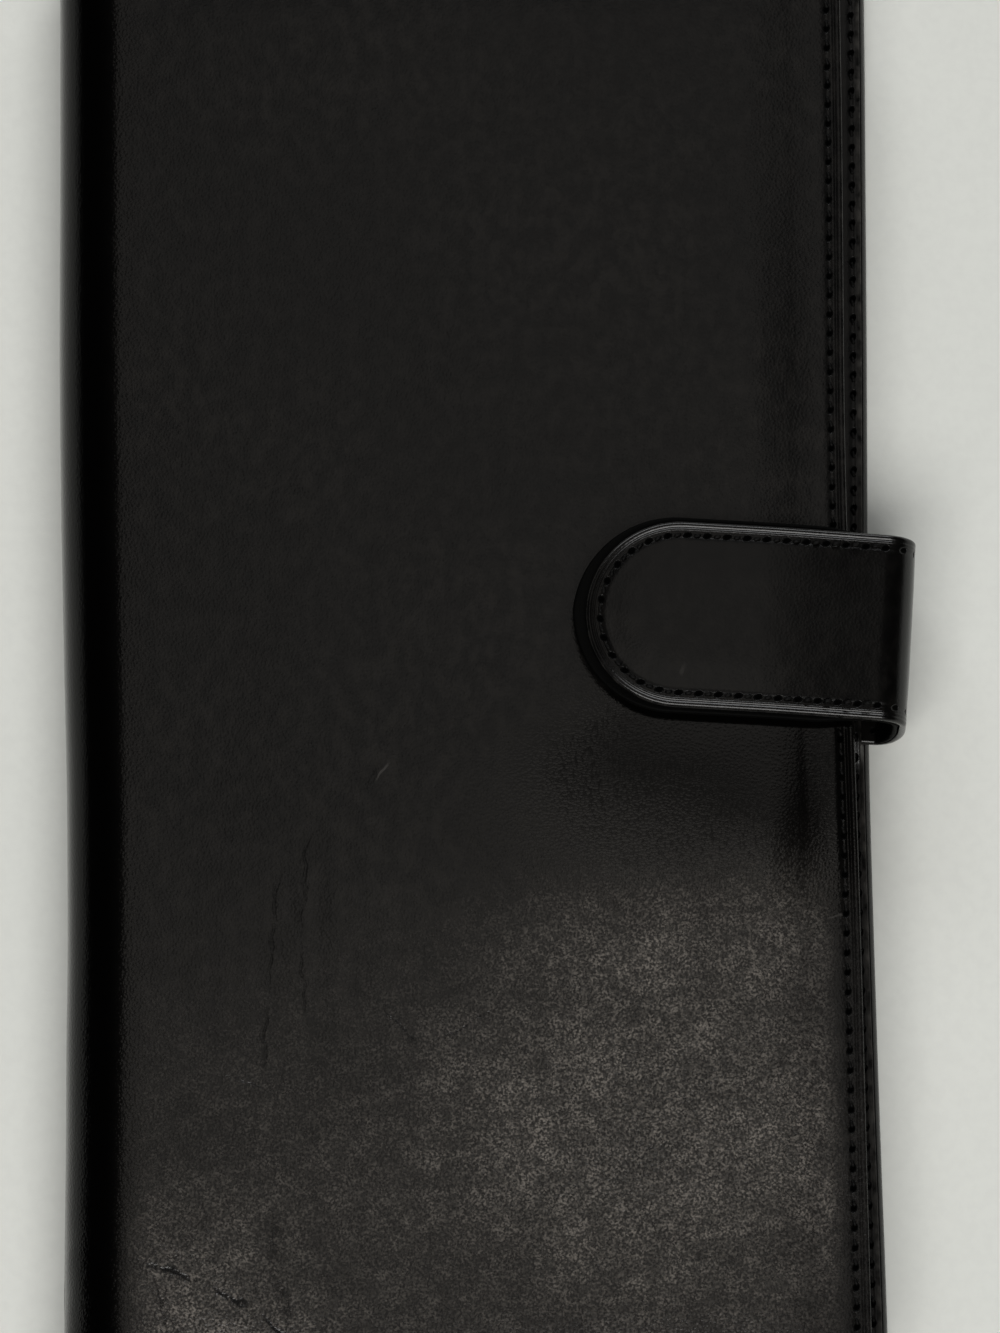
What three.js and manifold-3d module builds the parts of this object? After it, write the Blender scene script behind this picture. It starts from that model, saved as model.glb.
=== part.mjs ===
// A closed travel document wallet in black leather, lying on its back cover.
// Millimetres. +X runs from the spine to the fore-edge, +Y along the spine, +Z up from the table.
// The origin is the middle of the wallet's base.

import * as THREE from 'three';
import { mergeVertices } from 'three/addons/utils/BufferGeometryUtils.js';
import Module from 'manifold-3d';

const wasm = await Module();
wasm.setup();

// Closed wallet
const height = 232;
const closedWidth = 125.8; // spine to the back cover's fore-edge
const spineRadius = 9.3; // outside of the rolled spine, half of the closed thickness
const frontSetback = 3.3; // the front fore-edge lies this far short of the back one
const cornerRadius = 5;

// Layers of a cover, from the outside in
const leatherThickness = 1.4;
const boardThickness = 1.2;
const liningThickness = 0.8;
const layerGap = 0.1;
const foldGap = 0.3; // between the leather pieces at each fold line

// The board stops short of the edge, where leather and lining are pinched together
const boardInset = 7.7;
const boardStart = 3; // from the end of the spine's roll
const boardCorner = 3;
const boardClearance = 0.3;
const rimPinch = 0.5;
const rimSlope = 1.6;
const liningInset = 0.8;
const liningRamp = 2.2; // the lining climbs onto the board beside the spine

// Seams
const seamInset = 2.2;
const seamWidth = 0.7;
const seamDepth = 0.3;
const seamClearance = 0.1;
const seamStart = 2.4; // from the end of the spine's roll

// Pockets on the back cover's inside
const pocketThickness = 0.9;
const pocketMargin = 1; // from the board's edge
const ticketPocketStart = 24; // from the end of the spine's roll
const passportPocketStart = 30;
const passportPocketLength = 132;
const thumbNotchRadius = 11;

// Pockets on the front cover's inside
const currencyPocketStart = 14;
const currencyPocketThickness = 0.8;
const cardSlotCount = 4;
const cardSlotThickness = 0.7;
const cardSlotWidth = 90;
const cardSlotPitch = 15; // each slot's mouth below the last one
const firstCardSlotLength = 112;
const slotMouthDip = 2.5;

// Pen loop beside the spine
const penLoopRadius = 5.2;
const penLoopThickness = 0.8;
const penLoopLength = 32;
const penLoopMiddle = 40; // above the wallet's middle
const penLoopSetback = 2; // from the end of the spine's roll
const penLoopTongue = 12;

// Strap that goes round the fore-edge and over the front cover
const strapWidth = 29.2;
const strapLeatherThickness = 1.2;
const strapLiningThickness = 0.9;
const strapReach = 5.6; // past the back cover's fore-edge
const strapBendRadius = 4.7;
const strapRootLength = 6;
const strapSlant = THREE.MathUtils.degToRad(4.2);
const strapOffset = 3; // above the wallet's middle
const rootClearance = 0.3;
const tabLength = 44.6; // from the back cover's fore-edge to the tip
const tabEdgeStep = 0.8; // the tab's lining stands out past its leather along the sides
const tabTipStep = 2; // and round the tip

// Magnetic snap
const snapRadius = 8.6;
const snapCaseHeight = 0.9;
const snapAirGap = 0.3;
const snapPlateThickness = 0.8;
const snapStudRadius = 3;
const snapStudLength = 1.1;
const snapBoreClearance = 0.3;
const snapMagnetRadius = 7.6;
const snapWasherRadius = 9;
const snapWasherThickness = 0.5;
const snapWasherBore = 2;
const snapStudWasherRadius = 8;
const snapStudWasherThickness = 0.4;
const snapFit = 0.05;
const snapEdgeRound = 0.35;

// Steps of the round parts
const quarterSteps = 12;
const cornerSteps = 5;
const roundSegments = 36;
const cutMargin = 1;
const joinOverlap = 0.1;

// Places worked out from the sizes above
const halfHeight = height / 2;
const closedThickness = 2 * spineRadius;
const boardDepth = leatherThickness + layerGap;
const liningDepth = boardDepth + boardThickness + layerGap;
const rimLiningDepth = rimPinch + leatherThickness + layerGap;
const firstPocketDepth = liningDepth + liningThickness + layerGap;
const boardHalfHeight = halfHeight - boardInset;
const coverFoldAngle = Math.PI / 4 - foldGap / 2 / spineRadius;
const strapFoldAngle = Math.PI / 4 - foldGap / 2 / strapBendRadius;
const strapRootBottom = rimLiningDepth;
const tabLiningBottom = closedThickness + snapCaseHeight + snapAirGap + snapPlateThickness + snapFit;
const strapLayers = strapLeatherThickness + layerGap + strapLiningThickness;
const strapTop = tabLiningBottom + strapLayers;
const bendCentre = strapReach - strapBendRadius;
const snapPlace = -(tabLength - strapWidth / 2); // the middle of the tab's round end
const snapBoreRadius = snapStudRadius + snapBoreClearance;
const strapCorner = (strapWidth / 2) * Math.sin(strapSlant);
const overallWidth = closedWidth + strapReach * Math.cos(strapSlant) + strapCorner;

// A cover's depths are counted inwards from its outer face
const back = { foreEdge: closedWidth, level: (depth) => depth };
const front = { foreEdge: closedWidth - frontSetback, level: (depth) => closedThickness - depth };

const materials = {
  leather: new THREE.MeshStandardMaterial({ color: 0x1c1b1a, roughness: 0.42 }),
  lining: new THREE.MeshStandardMaterial({ color: 0x23211f, roughness: 0.7 }),
  board: new THREE.MeshStandardMaterial({ color: 0x8a7c68, roughness: 0.9 }),
  thread: new THREE.MeshStandardMaterial({ color: 0x141313, roughness: 0.6 }),
  nickel: new THREE.MeshStandardMaterial({ color: 0xb9b7b2, roughness: 0.25, metalness: 1 }),
  magnet: new THREE.MeshStandardMaterial({ color: 0x55565a, roughness: 0.4, metalness: 0.9 }),
};

// Solids and meshes

function toSolid(geometry) {
  const bare = geometry.clone();
  bare.deleteAttribute('normal');
  bare.deleteAttribute('uv');
  const merged = mergeVertices(bare, 1e-4);
  const vertProperties = new Float32Array(merged.attributes.position.array);
  const triVerts = new Uint32Array(merged.index.array);
  return new wasm.Manifold(new wasm.Mesh({ numProp: 3, vertProperties, triVerts }));
}

function toMesh(name, solid, material) {
  const { vertProperties, triVerts } = solid.getMesh();
  const geometry = new THREE.BufferGeometry();
  geometry.setAttribute('position', new THREE.BufferAttribute(vertProperties, 3));
  geometry.setIndex(new THREE.BufferAttribute(triVerts, 1));
  geometry.computeVertexNormals();
  const mesh = new THREE.Mesh(geometry, material);
  mesh.name = name;
  return mesh;
}

// A section in x and z, drawn out along y
function prism(section, fromY, toY) {
  const shape = new THREE.Shape(section.map(([x, z]) => new THREE.Vector2(x, z)));
  const geometry = new THREE.ExtrudeGeometry(shape, { depth: toY - fromY, bevelEnabled: false });
  geometry.rotateX(Math.PI / 2);
  geometry.translate(0, toY, 0);
  return toSolid(geometry);
}

// An outline in x and y, drawn out along z
function plate(shape, fromZ, toZ, curveSegments = cornerSteps) {
  const bottom = Math.min(fromZ, toZ);
  const depth = Math.abs(toZ - fromZ);
  const geometry = new THREE.ExtrudeGeometry(shape, { depth, bevelEnabled: false, curveSegments });
  geometry.translate(0, 0, bottom);
  return toSolid(geometry);
}

// A closed profile of radius and height, turned round the z axis
function turned(profile) {
  const points = profile.map(([radius, z]) => new THREE.Vector2(radius, z));
  const geometry = new THREE.LatheGeometry(points, roundSegments);
  geometry.rotateX(Math.PI / 2);
  return toSolid(geometry);
}

function disc(radius, fromZ, toZ) {
  return turned([[0, fromZ], [radius, fromZ], [radius, toZ], [0, toZ]]);
}

function ring(innerRadius, outerRadius, fromZ, toZ) {
  const corners = [[innerRadius, fromZ], [outerRadius, fromZ], [outerRadius, toZ], [innerRadius, toZ]];
  return turned([...corners, corners[0]]);
}

function roundedRectangle(left, right, low, high, radius) {
  const shape = new THREE.Shape();
  shape.moveTo(left + radius, low);
  shape.lineTo(right - radius, low);
  shape.absarc(right - radius, low + radius, radius, -Math.PI / 2, 0);
  shape.lineTo(right, high - radius);
  shape.absarc(right - radius, high - radius, radius, 0, Math.PI / 2);
  shape.lineTo(left + radius, high);
  shape.absarc(left + radius, high - radius, radius, Math.PI / 2, Math.PI);
  shape.lineTo(left, low + radius);
  shape.absarc(left + radius, low + radius, radius, Math.PI, 1.5 * Math.PI);
  return shape;
}

// Square at the spine, round-cornered at the fore-edge
function coverOutline(left, foreEdge, half, radius) {
  const shape = new THREE.Shape();
  shape.moveTo(left, -half);
  shape.lineTo(foreEdge - radius, -half);
  shape.absarc(foreEdge - radius, radius - half, radius, -Math.PI / 2, 0);
  shape.lineTo(foreEdge, half - radius);
  shape.absarc(foreEdge - radius, half - radius, radius, 0, Math.PI / 2);
  shape.lineTo(left, half);
  return shape;
}

// Covers

// Part of the spine's roll as points of x and depth, by the angle from the cover's flat
function spineArc(radius, from, to, steps) {
  return Array.from({ length: steps + 1 }, (_, i) => {
    const angle = from + ((to - from) * i) / steps;
    return [spineRadius - radius * Math.sin(angle), spineRadius - radius * Math.cos(angle)];
  });
}

// A sheet from the fold line round the roll and along the cover
function sheetSection(cover, outerRadius, thickness, line) {
  const outerArc = spineArc(outerRadius, coverFoldAngle, 0, quarterSteps / 2);
  const innerArc = spineArc(outerRadius - thickness, 0, coverFoldAngle, quarterSteps / 2);
  const inside = line.map(([x, depth]) => [x, depth + thickness]).reverse();
  return [...outerArc, ...line, ...inside, ...innerArc].map(([x, depth]) => [x, cover.level(depth)]);
}

// Full thickness over the board and pinched down along the top and bottom rims
function coverSheet(cover, outerRadius, thickness, overBoard, alongRim, rimLine, inset) {
  const middle = prism(sheetSection(cover, outerRadius, thickness, overBoard), -rimLine, rimLine);
  const rimSection = sheetSection(cover, outerRadius, thickness, alongRim);
  const top = prism(rimSection, rimLine - joinOverlap, halfHeight + cutMargin);
  const bottom = prism(rimSection, -halfHeight - cutMargin, joinOverlap - rimLine);
  const right = cover.foreEdge - inset;
  const outline = coverOutline(-cutMargin, right, halfHeight - inset, cornerRadius - inset);
  const trim = plate(outline, -cutMargin, closedThickness + cutMargin);
  return middle.add(top).add(bottom).intersect(trim);
}

function leatherSheet(cover) {
  const boardEdge = cover.foreEdge - boardInset + 2 * boardClearance;
  const overBoard = [
    [boardEdge, 0],
    [boardEdge + rimSlope, rimPinch],
    [cover.foreEdge + cutMargin, rimPinch],
  ];
  const alongRim = [
    [spineRadius + rimSlope, rimPinch],
    [cover.foreEdge + cutMargin, rimPinch],
  ];
  const rimLine = boardHalfHeight + 2 * boardClearance;
  return coverSheet(cover, spineRadius, leatherThickness, overBoard, alongRim, rimLine, 0);
}

function liningSheet(cover) {
  const boardEdge = cover.foreEdge - boardInset + boardClearance;
  const climbEnd = spineRadius + boardStart - boardClearance;
  const overBoard = [
    [climbEnd - liningRamp, boardDepth],
    [climbEnd, liningDepth],
    [boardEdge, liningDepth],
    [boardEdge + rimSlope, rimLiningDepth],
    [cover.foreEdge + cutMargin, rimLiningDepth],
  ];
  const alongRim = [
    [spineRadius + rimSlope, rimLiningDepth],
    [cover.foreEdge + cutMargin, rimLiningDepth],
  ];
  const rimLine = boardHalfHeight + boardClearance;
  const radius = spineRadius - boardDepth;
  return coverSheet(cover, radius, liningThickness, overBoard, alongRim, rimLine, liningInset);
}

function boardSheet(cover) {
  const left = spineRadius + boardStart;
  const right = cover.foreEdge - boardInset;
  const shape = roundedRectangle(left, right, -boardHalfHeight, boardHalfHeight, boardCorner);
  return plate(shape, cover.level(boardDepth), cover.level(boardDepth + boardThickness));
}

// A band along the top rim, the fore-edge and the bottom rim
function seamBand(cover, width, fromDepth, toDepth) {
  const left = spineRadius + seamStart;
  const outer = seamInset - width / 2;
  const inner = seamInset + width / 2;
  const outside = coverOutline(left, cover.foreEdge - outer, halfHeight - outer, cornerRadius - outer);
  const inside = coverOutline(
    left - cutMargin,
    cover.foreEdge - inner,
    halfHeight - inner,
    cornerRadius - inner,
  );
  const band = plate(outside, cover.level(fromDepth), cover.level(toDepth));
  const hole = plate(inside, cover.level(fromDepth - cutMargin), cover.level(toDepth + cutMargin));
  return band.subtract(hole);
}

function seamThread(cover) {
  return seamBand(cover, seamWidth, rimPinch, rimPinch + seamDepth);
}

function seamGroove(cover) {
  const width = seamWidth + 2 * seamClearance;
  return seamBand(cover, width, rimPinch - cutMargin, rimPinch + seamDepth + seamClearance);
}

function spineSheet(outerRadius, thickness) {
  const start = Math.PI / 2 - coverFoldAngle;
  const end = Math.PI - start;
  const outerArc = spineArc(outerRadius, start, end, quarterSteps);
  const innerArc = spineArc(outerRadius - thickness, end, start, quarterSteps);
  return prism([...outerArc, ...innerArc], -halfHeight, halfHeight);
}

// Pockets

function panel(cover, left, right, low, high, depth, thickness) {
  const shape = roundedRectangle(left, right, low, high, boardCorner);
  return plate(shape, cover.level(depth), cover.level(depth + thickness));
}

function thumbNotch(cover, x, y, radius, depth) {
  const levels = [cover.level(depth - cutMargin), cover.level(depth + cutMargin + pocketThickness)];
  return disc(radius, Math.min(...levels), Math.max(...levels)).translate([x, y, 0]);
}

const pocketHalfHeight = boardHalfHeight - pocketMargin;
const backPocketRight = back.foreEdge - boardInset - pocketMargin;
const frontPocketRight = front.foreEdge - boardInset - pocketMargin;

function ticketPocket() {
  const left = spineRadius + ticketPocketStart;
  const sheet = panel(
    back, left, backPocketRight, -pocketHalfHeight, pocketHalfHeight, firstPocketDepth, pocketThickness,
  );
  return sheet.subtract(thumbNotch(back, left, 0, thumbNotchRadius, firstPocketDepth));
}

function passportPocket() {
  const left = spineRadius + passportPocketStart;
  const top = passportPocketLength - pocketHalfHeight;
  const depth = firstPocketDepth + pocketThickness + layerGap;
  const sheet = panel(back, left, backPocketRight, -pocketHalfHeight, top, depth, pocketThickness);
  return sheet.subtract(thumbNotch(back, (left + backPocketRight) / 2, top, thumbNotchRadius, depth));
}

function currencyPocket() {
  const left = spineRadius + currencyPocketStart;
  const high = pocketHalfHeight;
  return panel(front, left, frontPocketRight, -high, high, firstPocketDepth, currencyPocketThickness);
}

// The mouth of a card slot dips in the middle, so that a card can be pushed out
function cardSlot(index) {
  const right = frontPocketRight;
  const left = right - cardSlotWidth;
  const low = -pocketHalfHeight;
  const high = low + firstCardSlotLength - index * cardSlotPitch;
  const shape = new THREE.Shape();
  shape.moveTo(left, low);
  shape.lineTo(right, low);
  shape.lineTo(right, high);
  shape.quadraticCurveTo((left + right) / 2, high - 2 * slotMouthDip, left, high);
  const step = cardSlotThickness + layerGap;
  const depth = firstPocketDepth + currencyPocketThickness + layerGap + index * step;
  return plate(shape, front.level(depth), front.level(depth + cardSlotThickness));
}

function penLoop() {
  const x = spineRadius + penLoopSetback;
  const z = firstPocketDepth + penLoopRadius;
  const low = penLoopMiddle - penLoopLength / 2;
  const tube = ring(penLoopRadius - penLoopThickness, penLoopRadius, low, low + penLoopLength);
  const loop = tube.rotate([-90, 0, 0]).translate([x, 0, z]);
  const tongueRight = x + penLoopTongue;
  const tongue = prism(
    [
      [x, firstPocketDepth],
      [tongueRight, firstPocketDepth],
      [tongueRight, firstPocketDepth + penLoopThickness],
      [x, firstPocketDepth + penLoopThickness],
    ],
    low,
    low + penLoopLength,
  );
  const bore = disc(penLoopRadius - penLoopThickness, low - cutMargin, low + penLoopLength + cutMargin);
  return loop.add(tongue.subtract(bore.rotate([-90, 0, 0]).translate([x, 0, z])));
}

// Strap, in its own frame: x outwards from the fore-edge, y along it

function lowerBend(radius, from, to, steps) {
  return Array.from({ length: steps + 1 }, (_, i) => {
    const angle = from + ((to - from) * i) / steps;
    const centre = strapRootBottom + strapBendRadius;
    return [bendCentre + radius * Math.sin(angle), centre - radius * Math.cos(angle)];
  });
}

function upperBend(radius, from, to, steps) {
  return Array.from({ length: steps + 1 }, (_, i) => {
    const angle = from + ((to - from) * i) / steps;
    const centre = strapTop - strapBendRadius;
    return [bendCentre + radius * Math.sin(angle), centre + radius * Math.cos(angle)];
  });
}

function strapRoot() {
  const steps = quarterSteps / 2;
  const inner = strapBendRadius - strapLeatherThickness;
  const section = [
    [-strapRootLength, strapRootBottom],
    ...lowerBend(strapBendRadius, 0, strapFoldAngle, steps),
    ...lowerBend(inner, strapFoldAngle, 0, steps),
    [-strapRootLength, strapRootBottom + strapLeatherThickness],
  ];
  return prism(section, -strapWidth / 2, strapWidth / 2);
}

function strapSheet(outerRadius, thickness) {
  const steps = quarterSteps / 2;
  const start = Math.PI / 2 - strapFoldAngle;
  const inner = outerRadius - thickness;
  const section = [
    ...lowerBend(outerRadius, start, Math.PI / 2, steps),
    ...upperBend(outerRadius, Math.PI / 2, start, steps),
    ...upperBend(inner, start, Math.PI / 2, steps),
    ...lowerBend(inner, Math.PI / 2, start, steps),
  ];
  return prism(section, -strapWidth / 2, strapWidth / 2);
}

// Round at the tip, straight to past the bend
function tabOutline(sideGrowth, tipGrowth) {
  const half = strapWidth / 2 + sideGrowth;
  const roundCentre = snapPlace + sideGrowth - tipGrowth;
  const shape = new THREE.Shape();
  shape.moveTo(strapReach + cutMargin, half);
  shape.lineTo(roundCentre, half);
  shape.absarc(roundCentre, 0, half, Math.PI / 2, 1.5 * Math.PI);
  shape.lineTo(strapReach + cutMargin, -half);
  return shape;
}

function tabSheet(outerRadius, thickness, sideGrowth, tipGrowth) {
  const steps = quarterSteps / 2;
  const top = strapTop - strapBendRadius + outerRadius;
  const end = -tabLength - tipGrowth - cutMargin;
  const section = [
    [end, top],
    ...upperBend(outerRadius, 0, strapFoldAngle, steps),
    ...upperBend(outerRadius - thickness, strapFoldAngle, 0, steps),
    [end, top - thickness],
  ];
  const half = strapWidth / 2 + sideGrowth;
  const outline = tabOutline(sideGrowth, tipGrowth);
  const trim = plate(outline, strapTop - strapBendRadius, strapTop + cutMargin);
  return prism(section, -half, half).intersect(trim);
}

function tabSeamBand(width, fromZ, toZ) {
  const outer = width / 2 - seamInset;
  const inner = -width / 2 - seamInset;
  const outside = plate(tabOutline(outer, outer), fromZ, toZ);
  const inside = plate(tabOutline(inner, inner), fromZ - cutMargin, toZ + cutMargin);
  const block = new THREE.Shape();
  const end = bendCentre - seamInset;
  block.moveTo(-tabLength, -strapWidth);
  block.lineTo(end, -strapWidth);
  block.lineTo(end, strapWidth);
  block.lineTo(-tabLength, strapWidth);
  return outside.subtract(inside).intersect(plate(block, fromZ, toZ));
}

// Magnetic snap, round the axis of the tab's round end

function socketCase() {
  const top = closedThickness + snapCaseHeight;
  return turned([
    [snapBoreRadius, closedThickness],
    [snapRadius, closedThickness],
    [snapRadius, top - snapEdgeRound],
    [snapRadius - snapEdgeRound, top],
    [snapBoreRadius, top],
    [snapBoreRadius, closedThickness],
  ]);
}

const washerLevel = front.level(boardDepth + boardThickness) + snapFit;
const magnetBottom = washerLevel + snapWasherThickness + snapFit;

function magnet() {
  return ring(snapBoreRadius, snapMagnetRadius, magnetBottom, closedThickness - snapFit);
}

function socketWasher() {
  return ring(snapWasherBore, snapWasherRadius, washerLevel, washerLevel + snapWasherThickness);
}

function studPlate() {
  const bottom = tabLiningBottom - snapFit - snapPlateThickness;
  const top = tabLiningBottom - snapFit;
  return turned([
    [0, bottom - snapStudLength],
    [snapStudRadius, bottom - snapStudLength],
    [snapStudRadius, bottom],
    [snapRadius - snapEdgeRound, bottom],
    [snapRadius, bottom + snapEdgeRound],
    [snapRadius, top],
    [0, top],
  ]);
}

const studWasherTop = tabLiningBottom + strapLiningThickness - snapFit;

function studWasher() {
  return ring(snapWasherBore, snapStudWasherRadius, studWasherTop - snapStudWasherThickness, studWasherTop);
}

function studWasherSeat() {
  const bottom = studWasherTop - snapStudWasherThickness - snapFit;
  return disc(snapStudWasherRadius + snapFit, bottom, strapTop);
}

// Where a point of the strap's own frame lies on the wallet
function onWallet(x, y) {
  const cos = Math.cos(strapSlant);
  const sin = Math.sin(strapSlant);
  return [closedWidth + x * cos + y * sin, strapOffset - x * sin + y * cos];
}

const [snapX, snapY] = onWallet(snapPlace, 0);

function magnetHole() {
  const hole = disc(snapMagnetRadius + snapBoreClearance, 0, closedThickness + cutMargin);
  return hole.translate([snapX, snapY, 0]);
}

function washerSeat() {
  const top = washerLevel + snapWasherThickness + snapFit;
  return disc(snapWasherRadius + snapBoreClearance, 0, top).translate([snapX, snapY, 0]);
}

// Room in the lining for the end of the strap that is sewn in
function rootNotch() {
  const half = strapWidth / 2 + rootClearance;
  const left = -strapRootLength - rootClearance;
  const corners = [[left, -half], [strapReach, -half], [strapReach, half], [left, half]];
  const points = corners.map(([x, y]) => new THREE.Vector2(...onWallet(x, y)));
  return plate(new THREE.Shape(points), 0, spineRadius);
}

function place(mesh, x, y) {
  mesh.position.set(x, y, 0);
  return mesh;
}

const wallet = new THREE.Group();
wallet.position.x = -overallWidth / 2;

const backLeather = leatherSheet(back).subtract(seamGroove(back));
const backLining = liningSheet(back).subtract(rootNotch());
wallet.add(toMesh('back_cover_leather', backLeather, materials.leather));
wallet.add(toMesh('back_board', boardSheet(back), materials.board));
wallet.add(toMesh('back_lining', backLining, materials.lining));
wallet.add(toMesh('back_seam_thread', seamThread(back), materials.thread));
wallet.add(toMesh('ticket_pocket', ticketPocket(), materials.leather));
wallet.add(toMesh('passport_pocket', passportPocket(), materials.leather));
wallet.add(toMesh('pen_loop', penLoop(), materials.leather));

const spineLiningRadius = spineRadius - boardDepth;
wallet.add(toMesh('spine_leather', spineSheet(spineRadius, leatherThickness), materials.leather));
wallet.add(toMesh('spine_lining', spineSheet(spineLiningRadius, liningThickness), materials.lining));

const frontLeather = leatherSheet(front).subtract(seamGroove(front)).subtract(magnetHole());
const frontBoard = boardSheet(front).subtract(magnetHole()).subtract(washerSeat());
wallet.add(toMesh('front_cover_leather', frontLeather, materials.leather));
wallet.add(toMesh('front_board', frontBoard, materials.board));
wallet.add(toMesh('front_lining', liningSheet(front), materials.lining));
wallet.add(toMesh('front_seam_thread', seamThread(front), materials.thread));
wallet.add(toMesh('currency_pocket', currencyPocket(), materials.leather));
for (let index = 0; index < cardSlotCount; index += 1) {
  wallet.add(toMesh(`card_slot_${index + 1}`, cardSlot(index), materials.leather));
}
wallet.add(place(toMesh('snap_socket_case', socketCase(), materials.nickel), snapX, snapY));
wallet.add(place(toMesh('snap_magnet', magnet(), materials.magnet), snapX, snapY));
wallet.add(place(toMesh('snap_socket_washer', socketWasher(), materials.nickel), snapX, snapY));

const strap = new THREE.Group();
strap.position.set(closedWidth, strapOffset, 0);
strap.rotation.z = -strapSlant;
wallet.add(strap);

const strapLiningRadius = strapBendRadius - strapLeatherThickness - layerGap;
strap.add(toMesh('strap_root', strapRoot(), materials.leather));
strap.add(toMesh('strap_leather', strapSheet(strapBendRadius, strapLeatherThickness), materials.leather));
strap.add(toMesh('strap_lining', strapSheet(strapLiningRadius, strapLiningThickness), materials.lining));

const tabGroove = tabSeamBand(
  seamWidth + 2 * seamClearance, strapTop - seamDepth - seamClearance, strapTop + cutMargin,
);
const tabThread = tabSeamBand(seamWidth, strapTop - seamDepth, strapTop);
const tabLeather = tabSheet(strapBendRadius, strapLeatherThickness, 0, 0).subtract(tabGroove);
const tabLining = tabSheet(strapLiningRadius, strapLiningThickness, tabEdgeStep, tabTipStep);
const tabLiningSeated = tabLining.subtract(studWasherSeat().translate([snapPlace, 0, 0]));
strap.add(toMesh('tab_leather', tabLeather, materials.leather));
strap.add(toMesh('tab_lining', tabLiningSeated, materials.lining));
strap.add(toMesh('tab_seam_thread', tabThread, materials.thread));
strap.add(place(toMesh('snap_stud_plate', studPlate(), materials.nickel), snapPlace, 0));
strap.add(place(toMesh('snap_stud_washer', studWasher(), materials.nickel), snapPlace, 0));

export default wallet;
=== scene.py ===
"""A closed travel document wallet in black leather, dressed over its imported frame.

Sizes are in millimetres here and become metres where meshes are made.
"""

import math

import bmesh
import bpy
import numpy as np
from mathutils import Matrix, Vector


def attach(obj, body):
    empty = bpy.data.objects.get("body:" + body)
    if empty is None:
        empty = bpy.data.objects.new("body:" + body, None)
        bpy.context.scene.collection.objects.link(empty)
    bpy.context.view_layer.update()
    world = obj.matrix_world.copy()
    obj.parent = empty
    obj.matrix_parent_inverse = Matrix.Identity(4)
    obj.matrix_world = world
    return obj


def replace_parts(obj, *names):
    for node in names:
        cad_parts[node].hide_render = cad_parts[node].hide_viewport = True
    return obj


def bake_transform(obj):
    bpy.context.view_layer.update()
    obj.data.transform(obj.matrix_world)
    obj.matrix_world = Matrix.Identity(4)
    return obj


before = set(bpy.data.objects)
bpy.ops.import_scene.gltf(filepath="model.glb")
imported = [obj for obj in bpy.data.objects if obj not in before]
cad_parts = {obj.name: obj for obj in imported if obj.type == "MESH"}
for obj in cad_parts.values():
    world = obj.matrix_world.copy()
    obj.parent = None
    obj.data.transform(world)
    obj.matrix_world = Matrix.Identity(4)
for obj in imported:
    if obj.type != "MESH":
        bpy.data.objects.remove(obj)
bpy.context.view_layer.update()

# Sizes of the covers
HALF_HEIGHT = 116.0
ROLL_X = -56.927  # the axis of the spine's roll
ROLL = 9.3
CLOSED = 2 * ROLL
QUARTER = ROLL * math.pi / 2
FORE_EDGE = {"front": 56.273, "back": 59.573}
CORNER = 5.0
LEATHER = 1.4
LINING = 0.8
LINING_INSET = 0.8
PINCH = 0.5
ROLL_LINING_DEPTH = 1.5
RIM_LINING_DEPTH = 2.0
BOARD_LINING_DEPTH = 2.8
ROOT_LINING_DEPTH = 3.35  # over the strap's sewn-in end
POCKET_DEPTH = 3.7
SEAM_INSET = 2.2
SEAM_START = 2.4
PITCH = 3.05
HOLE_HALF_LENGTH, HOLE_HALF_WIDTH = 0.62, 0.46
INNER_STITCH = {"radius": 0.2, "slant": 0.0, "rise": 0.05, "sink": 0.2}
COVER_ROUND = 0.4  # radius of a cover's outer rim
BOARD_STEP = 0.055  # how far the leather drops past the board's edge
TURN_WIDTH, TURN_DROP = 1.9, 2.0  # the inside of a cover's turned edge
TURN_END = 0.87  # from here inwards the turned edge lies under the lining
RIM_STEPS = np.array(
    [0, 0.05, 0.15, 0.3, 0.45, 0.62, 0.8, 0.95, 1.1, 1.25, 1.45, 1.7, 1.95, 2.2, 2.45, 2.7, 3.0]
    + [3.5, 4.1, 4.7, 5.2, 5.7, 6.2, 6.7, 7.2, 7.8, 8.5]
)

# How the worn outline leaves the straight: places along y, and how far the leather lies from them
SPINE_PUSH = [(-116, -0.25), (-103, -0.2), (-32, 1.05), (37, 0.3), (108, 0.7)]
BOW = {
    "front": [(-106, 0.55), (-91, 0.4), (-38, 0.15), (-16, -0.15), (30, -0.75), (88, 0.0)],
    "back": [(-104, 0.2), (-72, -0.35), (-36, -0.7), (-11, -0.9), (44, 0.1), (108, 1.0)],
}

# Creases in the front cover: from, to, width and depth
CREASES = [
    ((-54.4, -90.5), (-46.0, -94.5), 0.6, 0.07),
    ((-46.0, -94.5), (-38.5, -101.5), 0.7, 0.06),
    ((-55.0, -97.0), (-49.0, -101.0), 0.6, 0.05),
    ((-50.0, -88.0), (-43.0, -90.5), 0.6, 0.035),
    ((-44.0, -84.0), (-39.0, -92.0), 0.6, 0.035),
    ((-13.6, -52.5), (-10.6, -59.0), 0.6, 0.04),
    ((44.2, -52.0), (45.8, -58.0), 0.6, 0.03),
    ((46.0, -58.0), (44.6, -62.0), 0.6, 0.025),
    ((-30.5, -36.0), (-29.0, -50.0), 0.6, 0.025),
    ((-26.5, -33.0), (-27.5, -44.0), 0.6, 0.02),
    ((-33.0, -42.0), (-32.0, -60.0), 0.6, 0.02),
    ((-18.2, -19.6), (-15.4, -16.6), 0.4, -0.05),
    ((51.0, -41.6), (54.0, -41.0), 0.35, -0.05),
]

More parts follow.
